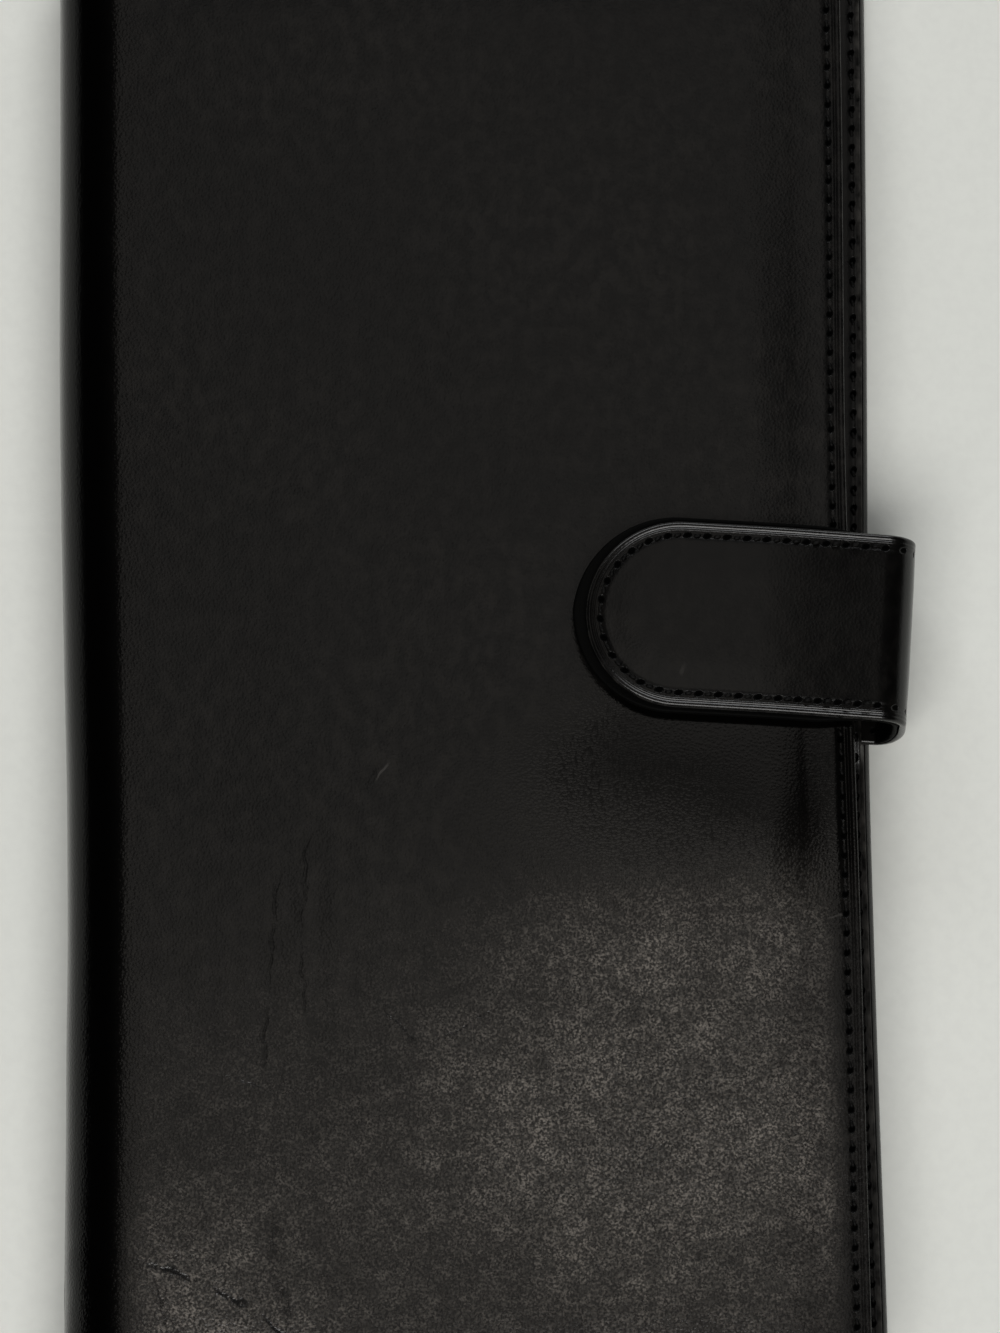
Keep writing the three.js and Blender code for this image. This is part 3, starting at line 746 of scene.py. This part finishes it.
def seam_map(side, x, y):
    """Stitch lengths along the seam, and distance across it."""
    right = FORE_EDGE[side] - CORNER
    up = HALF_HEIGHT - CORNER
    qx, qy = x - right, np.abs(y) - up
    radius = CORNER - SEAM_INSET
    top = x - ROLL_X - SEAM_START
    straight = right - ROLL_X - SEAM_START
    half_run = straight + radius * math.pi / 2 + up
    corner = straight + radius * np.arctan2(np.maximum(qx, 0), np.maximum(qy, 1e-9))
    run = np.where(qy > qx, top, half_run - np.abs(y))
    run = np.where((qx > 0) & (qy > 0), corner, run)
    run = np.where(y >= 0, run, 2 * half_run - run)
    count = round(2 * half_run / PITCH)
    across = np.where(top < -0.5, 9.0, rim_distance(side, x, y) - SEAM_INSET)
    return stacked(run / (2 * half_run) * count, across)


def crease_depth(x, y):
    depth = np.zeros_like(x)
    bend_x = x + 0.9 * waves(x, y, 4.0, 21)
    bend_y = y + 0.9 * waves(x, y, 5.0, 22)
    for start, end, width, amount in CREASES:
        distance, share = distance_to(bend_x, bend_y, start, end)
        fade = np.sqrt(np.clip(4 * share * (1 - share), 0.15, 1))
        bank = 0.35 * ridge(distance - 1.4 * width, width)
        depth += 1.8 * amount * fade * (ridge(distance, width) - bank)
    wrinkled = smooth(-44, -34, x) * (1 - smooth(-24, -14, x))
    wrinkled = wrinkled * smooth(-78, -62, y) * (1 - smooth(-42, -26, y))
    depth += 0.035 * wrinkled * waves(x * 3.2, y * 0.35, 4.5, 23)
    folded = (1 - smooth(-42, -28, x)) * (1 - smooth(-94, -76, y))
    depth += 0.08 * folded * waves(x * 0.8 + y * 0.6, y * 1.4 - x * 0.5, 6.0, 24)
    return depth


def leather_depth(side, x, y, distance):
    raised = smooth(3.4, 15.0, distance)
    depth = PINCH * (1 - raised) * smooth(ROLL_X + 0.5, ROLL_X + 8, x)
    depth = depth + BOARD_STEP * (1 - smooth(7.9, 8.6, distance)) * raised
    beads = 0.13 * ridge(distance - 1.12, 0.2) + 0.12 * ridge(distance - SEAM_INSET, 0.5)
    depth = depth + beads * smooth(ROLL_X, ROLL_X + 3, x)
    depth = depth + (0.16 * waves(x, y, 46.0, 3) + 0.05 * waves(x, y, 15.0, 4)) * raised
    if side == "back":
        return np.maximum(depth, 0)
    pressed = np.hypot(x - 30, y - 4)
    return depth + crease_depth(x, y) * raised + 0.1 * ridge(pressed, 17.0)


def leather_skin(side, step, finish):
    """Outer leather of a cover, from the spine's mid-line round the roll to the fore-edge."""
    s, x, y, distance, maps = cover_grid(side, step, 0.0)
    depth = leather_depth(side, x, y, distance)
    outer = cover_point(side, s, y, depth + edge_round(distance, COVER_ROUND))
    plain = PINCH * (1 - smooth(4.0, 8.6, distance)) * smooth(ROLL_X + 0.5, ROLL_X + 8, x)
    lip = lining_depth(side, x, y, np.maximum(distance, LINING_INSET))
    lip = lip + LINING - turned_edge(distance)
    inner = cover_point(side, s, y, np.where(distance < TURN_END, lip, plain + LEATHER))
    patch = (outer, inner, maps, ("start", "end", "right"))
    return shell(f"{side}_leather_skin", [patch], finish, round_snap if side == "front" else None)


def round_snap(centres):
    """Which faces of the front leather lie outside the snap's hole."""
    return (np.hypot(*(centres[:, :2] - snap_place).T) > SNAP_HOLE) | (centres[:, 2] < ROLL)


def lining_depth(side, x, y, distance):
    """Depth of the lining's hidden face: close to the roll, over the board, and pinched at the rim."""
    rim = ROLL_LINING_DEPTH + (RIM_LINING_DEPTH - ROLL_LINING_DEPTH) * smooth(ROLL_X, ROLL_X + 4, x)
    boarded = smooth(5.0, 7.3, distance) * smooth(ROLL_X + 0.2, ROLL_X + 2.8, x)
    depth = rim + (BOARD_LINING_DEPTH - rim) * boarded
    if side == "back":
        x, y = x - STRAP_ORIGIN[0], y - STRAP_ORIGIN[1]
        u, v = x * STRAP_COS - y * STRAP_SIN, x * STRAP_SIN + y * STRAP_COS
        over_root = smooth(-8.6, -6.1, u) * (1 - smooth(14.9, 17.0, np.abs(v)))
        over_root = over_root * smooth(0.9, 1.6, distance)
        depth = np.maximum(depth, depth + (ROOT_LINING_DEPTH - depth) * over_root)
    return depth


def lining_skin(side, step, finish):
    s, x, y, distance, maps = cover_grid(side, step, LINING_INSET)
    depth = lining_depth(side, x, y, distance)
    rim = edge_round(distance - LINING_INSET, 0.1)
    seam = 0.1 * ridge(distance - SEAM_INSET, 0.5) * smooth(ROLL_X, ROLL_X + 3, x)
    seam = turned_edge(distance) + seam
    slack = 0.05 * waves(x, y, 24.0, 9)
    outer = cover_point(side, s, y, depth + rim)
    inner = cover_point(side, s, y, depth + LINING - rim - seam + slack * smooth(8, 14, distance))
    return shell(f"{side}_lining_skin", [(outer, inner, maps, ("start", "end", "right"))], finish)


def seam_line(side):
    """Nominal x and y along a cover's seam, from the top beside the spine round to the bottom."""
    radius = CORNER - SEAM_INSET
    right, up = FORE_EDGE[side] - CORNER, HALF_HEIGHT - CORNER
    turn = np.linspace(0, math.pi / 2, 8)
    corner = stacked(right + radius * np.sin(turn), up + radius * np.cos(turn))
    straight = stacked(right + radius, np.linspace(up, -up, 60))[1:-1]
    upper = np.concatenate([[[ROLL_X + SEAM_START, up + radius]], corner])
    return np.concatenate([upper, straight, upper[::-1] * [1, -1]])


def cover_stitches(side):
    """Stitches round a cover, on its leather and on its lining."""
    x, y = evened(*seam_line(side).T, 400)
    s = path_length(x)
    distance = np.full_like(x, SEAM_INSET)
    outside = cover_point(side, s, y, leather_depth(side, x, y, distance))
    inside = cover_point(side, s, y, lining_depth(side, x, y, distance) + LINING - 0.1)
    up = 1 if side == "front" else -1
    runs = [sewn_run(outside, up), sewn_run(inside, -up)]
    return stitches(f"{side}_seam_stitches", runs, f"{side}_cover")


def strap_to_frame(u, v, z):
    """Points of the strap's own frame in the shared frame."""
    x = STRAP_ORIGIN[0] + u * STRAP_COS + v * STRAP_SIN
    y = STRAP_ORIGIN[1] - u * STRAP_SIN + v * STRAP_COS
    return stacked(x, y, z)


snap_place = tuple(strap_to_frame(SNAP_U, 0.0, 0.0)[:2])

for side, make, step, finish, slot, nodes in (
    ("front", leather_skin, 0.8, front_leather, "leather", ("front_cover_leather", "spine_leather")),
    ("back", leather_skin, 2.2, back_leather, "leather", ("back_cover_leather", "spine_leather")),
    ("front", lining_skin, 2.4, lining_finish, "lining", ("front_lining", "spine_lining")),
    ("back", lining_skin, 2.4, lining_finish, "lining", ("back_lining", "spine_lining")),
):
    skin = make(side, step, finish)
    if side == "front":
        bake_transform(skin)
    else:
        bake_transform(skin)
    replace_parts(skin, *nodes)
for side in ("front", "back"):
    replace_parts(cover_stitches(side), f"{side}_seam_thread")


# Strap and tab


def strap_point(part, s, v, depth):
    """The place at path length s from the middle of the riser, upwards or downwards."""
    flat = np.maximum(s - RISER - BEND_LENGTH, 0)
    reach = STRAP_BEND - depth
    if part == "lower":
        angle = np.clip(s / (RISER + BEND_LENGTH), 0, 1) * math.pi / 2
        z = STRAP_MIDDLE - (STRAP_TOP - STRAP_MIDDLE - depth) * np.sin(angle)
        return strap_to_frame(STRAP_BEND_U + reach * np.cos(angle) - flat, v, z)
    angle = np.clip((s - RISER) / STRAP_BEND, 0, math.pi / 2)
    sag = STRAP_SAG * smooth(0, RISER, s) * (1 - smooth(RISER, flat_length(SAG_START_U), s))
    z = STRAP_TOP - STRAP_BEND + reach * np.sin(angle) - np.maximum(RISER - s, 0) - sag
    return strap_to_frame(STRAP_BEND_U + reach * np.cos(angle) - flat, v, z)


def flat_length(u):
    return RISER + BEND_LENGTH + STRAP_BEND_U - u


def tab_relief(distance, u, v):
    """Depth of the tab's leather: rounded edge, two bead lines, sewn channel and a soft crown."""
    depth = 0.14 * ridge(distance - 0.95, 0.16) + 0.11 * ridge(distance - 1.5, 0.16)
    depth = depth + 0.13 * ridge(distance - SEAM_INSET, 0.42)
    depth = depth - 0.22 * smooth(2.4, 8.0, distance)
    return depth + 0.06 * waves(u, v, 11.0, 32)


def tab_seam(distance, run):
    count = round(TAB_SEAM / PITCH)
    return stacked(run / TAB_SEAM * count, distance - SEAM_INSET)


def across_strip(lip_up, lip_down):
    """Distances from the edge and v of the columns across the strap, from its upper edge down."""
    share = 1 - TAB_STEPS / STRAP_HALF
    up = share[None, :] * (STRAP_HALF + lip_up)
    down = -share[None, ::-1] * (STRAP_HALF + lip_down)
    distance = np.concatenate([TAB_STEPS, TAB_STEPS[::-1][1:]])
    return distance[None, :], np.concatenate([up, down[:, 1:]], 1)


def strap_rows(part):
    bend = RISER + np.linspace(0, BEND_LENGTH, 25)
    end, count = (flat_length(SNAP_U), 46) if part == "upper" else (flat_length(ROOT_END), 6)
    riser = np.linspace(0.3, RISER, 8)[:-1]
    flat = np.linspace(bend[-1], end, count)[1:]
    return np.concatenate([[0, 0.02], riser, bend, flat])[:, None]


def strap_layer(part, s, u, v, distance, relief, layer):
    """Outer and inner points of one layer of the strap."""
    top, thickness, radius = layer
    rim = edge_round(distance, radius)
    hollow = washer_seat(u, v) if top and part == "upper" else 0.0
    outer = strap_point(part, s, v, top + rim + relief + hollow)
    return outer, strap_point(part, s, v, top + thickness - rim)


def strap_patches(part, layer, lip=(0, 0, 0)):
    """Grids of a layer with a top, thickness and edge radius. The upper part ends in the tab's tip."""
    s = strap_rows(part)
    u = STRAP_BEND_U - (s - RISER - BEND_LENGTH)
    grown = 1 - smooth(-9.0, -1.0, u)
    distance, v = across_strip(lip[0] * grown, lip[2] * grown)
    s, u, distance, v = np.broadcast_arrays(s, u, distance, v)
    flatness = smooth(0.0, BEND_LENGTH, s - RISER)
    shaped = 1.0 if layer[0] == 0 and part == "upper" else 0.0
    relief = shaped * tab_relief(distance, u, v) * (0.25 + 0.75 * flatness) * smooth(0, 2, s)
    run = STRAP_BEND_U - u
    run = np.where(v >= 0, run, TAB_SEAM - run)
    seam = tab_seam(np.where(s > RISER + 1, distance, 30.0), run)
    maps = {"grain": stacked(s, v), "seam": seam}
    points = strap_layer(part, s, u, v, distance, relief, layer)
    if part == "lower":
        return [(*points, maps, ("left", "right", "end"))]
    patches = [(*points, maps, ("left", "right"))]
    angle = np.linspace(math.pi / 2, 1.5 * math.pi, 65)[:, None]
    grown = np.interp(angle / math.pi, [0.5, 1, 1.5], lip)
    reach = (1 - TAB_STEPS / STRAP_HALF)[None, :] * (STRAP_HALF + grown)
    u = SNAP_U + reach * np.cos(angle)
    v = reach * np.sin(angle)
    s = flat_length(u)
    distance = np.broadcast_to(TAB_STEPS[None, :], u.shape)
    run = STRAP_BEND_U - SNAP_U + (STRAP_HALF - SEAM_INSET) * (angle - math.pi / 2)
    maps = {"grain": stacked(s, v), "seam": tab_seam(distance, run)}
    relief = shaped * tab_relief(distance, u, v)
    patches.append((*strap_layer(part, s, u, v, distance, relief, layer), maps, ("left",)))
    return patches


def washer_seat(u, v):
    return 0.5 * (1 - smooth(8.1, 8.8, np.hypot(u - SNAP_U, v)))


def strap_blend(piece, part):
    riser = strap_to_frame(STRAP_BEND_U + STRAP_BEND, 0.0, STRAP_TOP - STRAP_BEND) * 0.001
    flat = strap_to_frame(STRAP_BEND_U, 0.0, STRAP_TOP) * 0.001
    if part == "upper":
        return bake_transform(piece)
    riser[2] = 0.001 * 2 * STRAP_MIDDLE - riser[2]
    flat[2] = 0.001 * 2 * STRAP_MIDDLE - flat[2]
    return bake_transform(piece)


def tab_stitches():
    """Stitches round the tab, on its leather and on its lining."""
    radius = STRAP_HALF - SEAM_INSET
    turn = np.linspace(math.pi / 2, 1.5 * math.pi, 40)
    u = np.concatenate([[STRAP_BEND_U], SNAP_U + radius * np.cos(turn), [STRAP_BEND_U]])
    v = np.concatenate([[radius], radius * np.sin(turn), [-radius]])
    u, v = evened(u, v, 300)
    top = strap_to_frame(u, v, STRAP_TOP - 0.1)
    low = strap_to_frame(u, v, STRAP_TOP - STRAP_LINING_DEPTH - STRAP_LINING + 0.05)
    return stitches("tab_seam_stitches", [sewn_run(top, 1), sewn_run(low, -1)], "tab")


def strap_lining_lower():
    """The lining's lower part stops where the strap goes in between the cover's layers."""
    outer, inner, maps, _ = strap_patches("lower", LINING_LAYER)[0]
    rows = strap_rows("lower")[:, 0] <= RISER + BEND_LENGTH * 0.8
    maps = {key: values[rows] for key, values in maps.items()}
    return [(outer[rows], inner[rows], maps, ("left", "right", "end"))]


LEATHER_LAYER = (0.0, STRAP_LEATHER, 0.55)
LINING_LAYER = (STRAP_LINING_DEPTH, STRAP_LINING, 0.4)
tab_leather = strap_patches("upper", LEATHER_LAYER)
strap_leather = strap_patches("lower", LEATHER_LAYER)
tab_lining = strap_patches("upper", LINING_LAYER, LINING_LIP)

for name, part, patches, finish, slot, nodes in (
    ("tab_leather", "upper", tab_leather, strap_finish, "leather", ("tab_leather", "strap_leather")),
    ("strap_leather", "lower", strap_leather, strap_finish, "leather", ("strap_root", "strap_leather")),
    ("tab_lining", "upper", tab_lining, lining_with_painted_shade, "lining", ("tab_lining", "strap_lining")),
    ("strap_lining", "lower", strap_lining_lower(), lining_with_painted_shade, "lining", ("strap_lining",)),
):
    piece = shell(f"{name}_skin", patches, finish)
    strap_blend(piece, part)
    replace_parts(piece, *nodes)
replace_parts(tab_stitches(), "tab_seam_thread")


# Pockets and pen loop


def level(side, depth):
    return depth if side == "back" else CLOSED - depth


def panel(node, side, mouth, corners, depth, thickness, sewn):
    """A pocket's sheet with rounded edges, a turned strip along its mouth, and its seams."""
    name = f"{node}_sheet"
    outline = np.concatenate([mouth, *corners])
    work = bmesh.new()
    low = corner_row(work, outline, level(side, depth))
    high = corner_row(work, outline, level(side, depth + thickness))
    work.faces.new(low)
    work.faces.new(high)
    count = len(outline)
    for i in range(count):
        work.faces.new((low[i], low[(i + 1) % count], high[(i + 1) % count], high[i]))
    rims = [edge for edge in work.edges if abs(edge.verts[0].co.z - edge.verts[1].co.z) < 1e-7]
    bmesh.ops.bevel(work, geom=rims, offset=SHEET_ROUND * 0.001, segments=3, profile=0.5, affect="EDGES")
    bmesh.ops.triangulate(work, faces=[face for face in work.faces if len(face.verts) > 4])
    add_strip(work, mouth, side, depth + thickness)
    bmesh.ops.recalc_face_normals(work, faces=work.faces)
    mesh = bpy.data.meshes.new(name)
    work.to_mesh(mesh)
    work.free()
    layer = mesh.uv_layers.new(name="grain")
    for loop, corner in zip(mesh.loops, layer.data):
        corner.uv = 1000 * mesh.vertices[loop.vertex_index].co.xy
    mesh.materials.append(pocket_finish)
    mesh.shade_smooth()
    mesh.set_sharp_from_angle(angle=SHARP)
    piece = add_object(name, mesh)
    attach(piece, f"{side}_cover")
    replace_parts(piece, node)
    runs = []
    lines = [(offset_line(mouth, 2.0), 0.16)] + [(offset_line(part, 1.7), 0.0) for part in sewn]
    for line, lift in lines:
        path = stacked(*line.T, level(side, depth + thickness + lift))
        runs.append(sewn_run(path, 1 if side == "back" else -1, 3.2, 1.5))
    stitches(f"{name}_stitches", runs, f"{side}_cover", 2.2, **INNER_STITCH)


def corner_row(work, line, z):
    """New mesh corners in metres along a line in millimetres."""
    return [work.verts.new((x * 0.001, y * 0.001, z * 0.001)) for x, y in line]


def offset_line(line, distance):
    """A line moved to its left."""
    line = np.asarray(line, float)
    direction = np.gradient(line, axis=0)
    direction /= np.linalg.norm(direction, axis=1)[:, None]
    return line + distance * np.column_stack([-direction[:, 1], direction[:, 0]])


def add_strip(work, mouth, side, depth):
    """The turned strip along a mouth: a low band with rounded long edges."""
    section = [(0.12, -0.05), (0.12, 0.08), (0.3, 0.16), (2.9, 0.16), (3.15, 0.08), (3.2, -0.05)]
    rows = [
        corner_row(work, offset_line(mouth, across), level(side, depth + lift))
        for across, lift in section
    ]
    for first, second in zip(rows, rows[1:]):
        for i in range(len(first) - 1):
            work.faces.new((first[i], first[i + 1], second[i + 1], second[i]))
    for end in (0, -1):
        work.faces.new([row[end] for row in rows])


def arc(cx, cy, radius, start, end, steps=14):
    angle = np.radians(np.linspace(start, end, steps))
    return stacked(cx + radius * np.cos(angle), cy + radius * np.sin(angle))


def line_points(start, end, count=12):
    share = np.linspace(0, 1, count)[:, None]
    return np.array(start) * (1 - share) + np.array(end) * share


def side_pocket(node, side, left, thickness, mouth):
    """A pocket over the whole height, open toward the spine."""
    right, top, r = POCKET_RIGHT[side], POCKET_HALF, POCKET_CORNER
    corners = [arc(right - r, r - top, r, -90, 0, 6), arc(right - r, top - r, r, 0, 90, 6)]
    sewn = [
        line_points((left + 4, -top), (right - 1, -top)),
        line_points((right, 1 - top), (right, top - 1)),
        line_points((right - 1, top), (left + 4, top)),
    ]
    panel(node, side, mouth, corners, POCKET_DEPTH, thickness, sewn)


def low_pocket(node, side, left, high, mouth, corners, depth, thickness):
    """A pocket over the lower part of a cover, open at its top."""
    right, low = POCKET_RIGHT[side], -POCKET_HALF
    sewn = [
        line_points((left, high - 4), (left, low + 1)),
        line_points((left + 1, low), (right - 1, low)),
        line_points((right, low + 1), (right, high - 4)),
    ]
    panel(node, side, mouth, corners, depth, thickness, sewn)


def ticket_pocket():
    left, top = -32.927, POCKET_HALF
    above = line_points((left, top), (left, NOTCH))
    below = line_points((left, -NOTCH), (left, -top))
    mouth = np.concatenate([above, arc(left, 0, NOTCH, 88, -88), below])
    side_pocket("ticket_pocket", "back", left, 0.9, mouth)


def passport_pocket():
    left, right, low, high = -26.927, POCKET_RIGHT["back"], -POCKET_HALF, 24.7
    middle, r = (left + right) / 2, POCKET_CORNER
    first = line_points((right, high), (middle + NOTCH, high))
    last = line_points((middle - NOTCH, high), (left, high))
    mouth = np.concatenate([first, arc(middle, high, NOTCH, -2, -178), last])
    corners = [arc(left + r, low + r, r, 180, 270, 6), arc(right - r, low + r, r, -90, 0, 6)]
    low_pocket("passport_pocket", "back", left, high, mouth, corners, POCKET_DEPTH + 1.0, 0.9)


def currency_pocket():
    left, top = -42.927, POCKET_HALF
    mouth = line_points((left, top - 1), (left, 1 - top), 30)
    side_pocket("currency_pocket", "front", left, 0.8, mouth)


def card_slot(index):
    left, right, low = -42.427, POCKET_RIGHT["front"], -POCKET_HALF
    high = low + CARD_HIGH - CARD_STEP * index
    share = np.linspace(0, 1, 24)
    dip = 4 * CARD_DIP * share * (1 - share)
    mouth = stacked(right + (left - right) * share, high - dip)
    corners = [[[left, low], [right, low]]]
    depth = POCKET_DEPTH + 0.9 + 0.8 * index
    low_pocket(f"card_slot_{index + 1}", "front", left, high, mouth, corners, depth, 0.7)


def pen_loop():
    """A leather loop on a tongue that is sewn down beside the spine."""
    centre, radius, thickness, rounding = (-54.927, 8.9), 5.2, 0.8, 0.36
    low, high, right, top = 24.0, 56.0, -42.927, POCKET_DEPTH + 0.8
    turn = np.linspace(-math.pi / 2, 1.5 * math.pi - 0.02, 49)
    y = np.concatenate([[low, 24.05, 24.2, 24.4], np.linspace(25, 55, 16), [55.6, 55.8, 55.95, high]])
    y = y[:, None]
    rim = edge_round(np.minimum(y - low, high - y), rounding)

    def ring(depth):
        x = centre[0] + (radius - depth) * np.cos(turn)
        return stacked(x, y, centre[1] + (radius - depth) * np.sin(turn))

    maps = {"grain": stacked(turn * radius, y)}
    loop = (ring(rim), ring(thickness - rim), maps, ("start", "end"))
    x = np.concatenate([np.linspace(centre[0] + 1.2, -43.3, 14), [-43.1, -42.98, -42.93]])
    flat = np.maximum(edge_round(right - x, rounding), rim)
    maps = {"grain": stacked(x, y)}
    walls = ("start", "end", "left", "right")
    sheet = (stacked(x, y, top - flat), stacked(x, y, POCKET_DEPTH + flat), maps, walls)
    piece = shell("pen_loop_leather", [loop, sheet], pocket_finish)
    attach(piece, "back_cover")
    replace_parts(piece, "pen_loop")
    runs = [sewn_run([[x, 25.5, top], [x, 54.5, top]], 1, 3.0) for x in (-46.6, -44.6)]
    stitches("pen_loop_stitches", runs, "back_cover", 2.1, **INNER_STITCH)


ticket_pocket()
passport_pocket()
currency_pocket()
for index in range(CARD_SLOTS):
    card_slot(index)
pen_loop()


# Magnetic snap

case = [(3.3, 18.62), (8.6, 18.62), (8.6, 19.5), (6.2, 19.5), (5.9, 19.38), (3.9, 19.38), (3.3, 19.5)]
case = rounded(case, 0.4)
stud = [(0, 18.7), (2.6, 18.7), (3.0, 19.0), (3.0, 19.78), (5.6, 19.8), (5.9, 19.92)]
stud = rounded(stud + [(7.9, 19.92), (8.6, 20.0), (8.6, 20.6), (0, 20.6)], 0.3)

for name, profile, body, node in (
    ("snap_socket_rim", case + case[:1], "front_cover", "snap_socket_case"),
    ("snap_stud_face", stud, "tab", "snap_stud_plate"),
):
    piece = lathe(name, profile, snap_place, nickel, body)
    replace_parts(piece, node)


# Stage, light and camera


def floor():
    """A wide pale sheet that the wallet lies on."""
    size, steps = 3000, 60
    at = np.linspace(-size, size, steps + 1)
    x, y = np.meshgrid(at, at)
    points = stacked(x, y, -0.2).reshape(-1, 3)
    faces = grid_faces(steps + 1, steps + 1, 0, True)
    finish_mesh("floor", [points], [faces], {}, floor_finish(), weld=False)


def area_light(name, place, target, size, power, colour):
    lamp = bpy.data.lights.new(name, "AREA")
    lamp.shape = "RECTANGLE"
    lamp.size, lamp.size_y = size
    lamp.energy, lamp.color = power, colour
    holder = add_object(name, lamp)
    holder.location = place
    holder.rotation_euler = (Vector(target) - Vector(place)).to_track_quat("-Z", "Y").to_euler()
    holder.visible_camera = False


def room():
    """A world that is pale near the horizon and dim above it."""
    f = Finish("dim_room", bpy.data.worlds, "Background")
    inputs = {"Value": f.parts(f.place("Generated"))[2], "From Min": 0.06, "From Max": 0.2}
    height = f.node("ShaderNodeMapRange", inputs).outputs["Result"]
    f.set("Color", f.mix(height, (0.35, 0.355, 0.34), (0.015, 0.015, 0.015)))
    bpy.context.scene.world = f.owner


def camera():
    data = bpy.data.cameras.new("photo_view")
    data.sensor_fit = "VERTICAL"
    data.sensor_height = 36.0
    data.lens = LENS
    data.clip_end = 20.0
    holder = add_object("photo_view", data)
    axes = Matrix((CAMERA_RIGHT, CAMERA_UP, CAMERA_BACK)).transposed()
    holder.matrix_world = Matrix.Translation(CAMERA_PLACE) @ axes.to_4x4()
    bpy.context.scene.camera = holder


floor()
for lamp in LAMPS:
    area_light(*lamp)
room()
camera()
bpy.context.scene.view_settings.view_transform = "Standard"
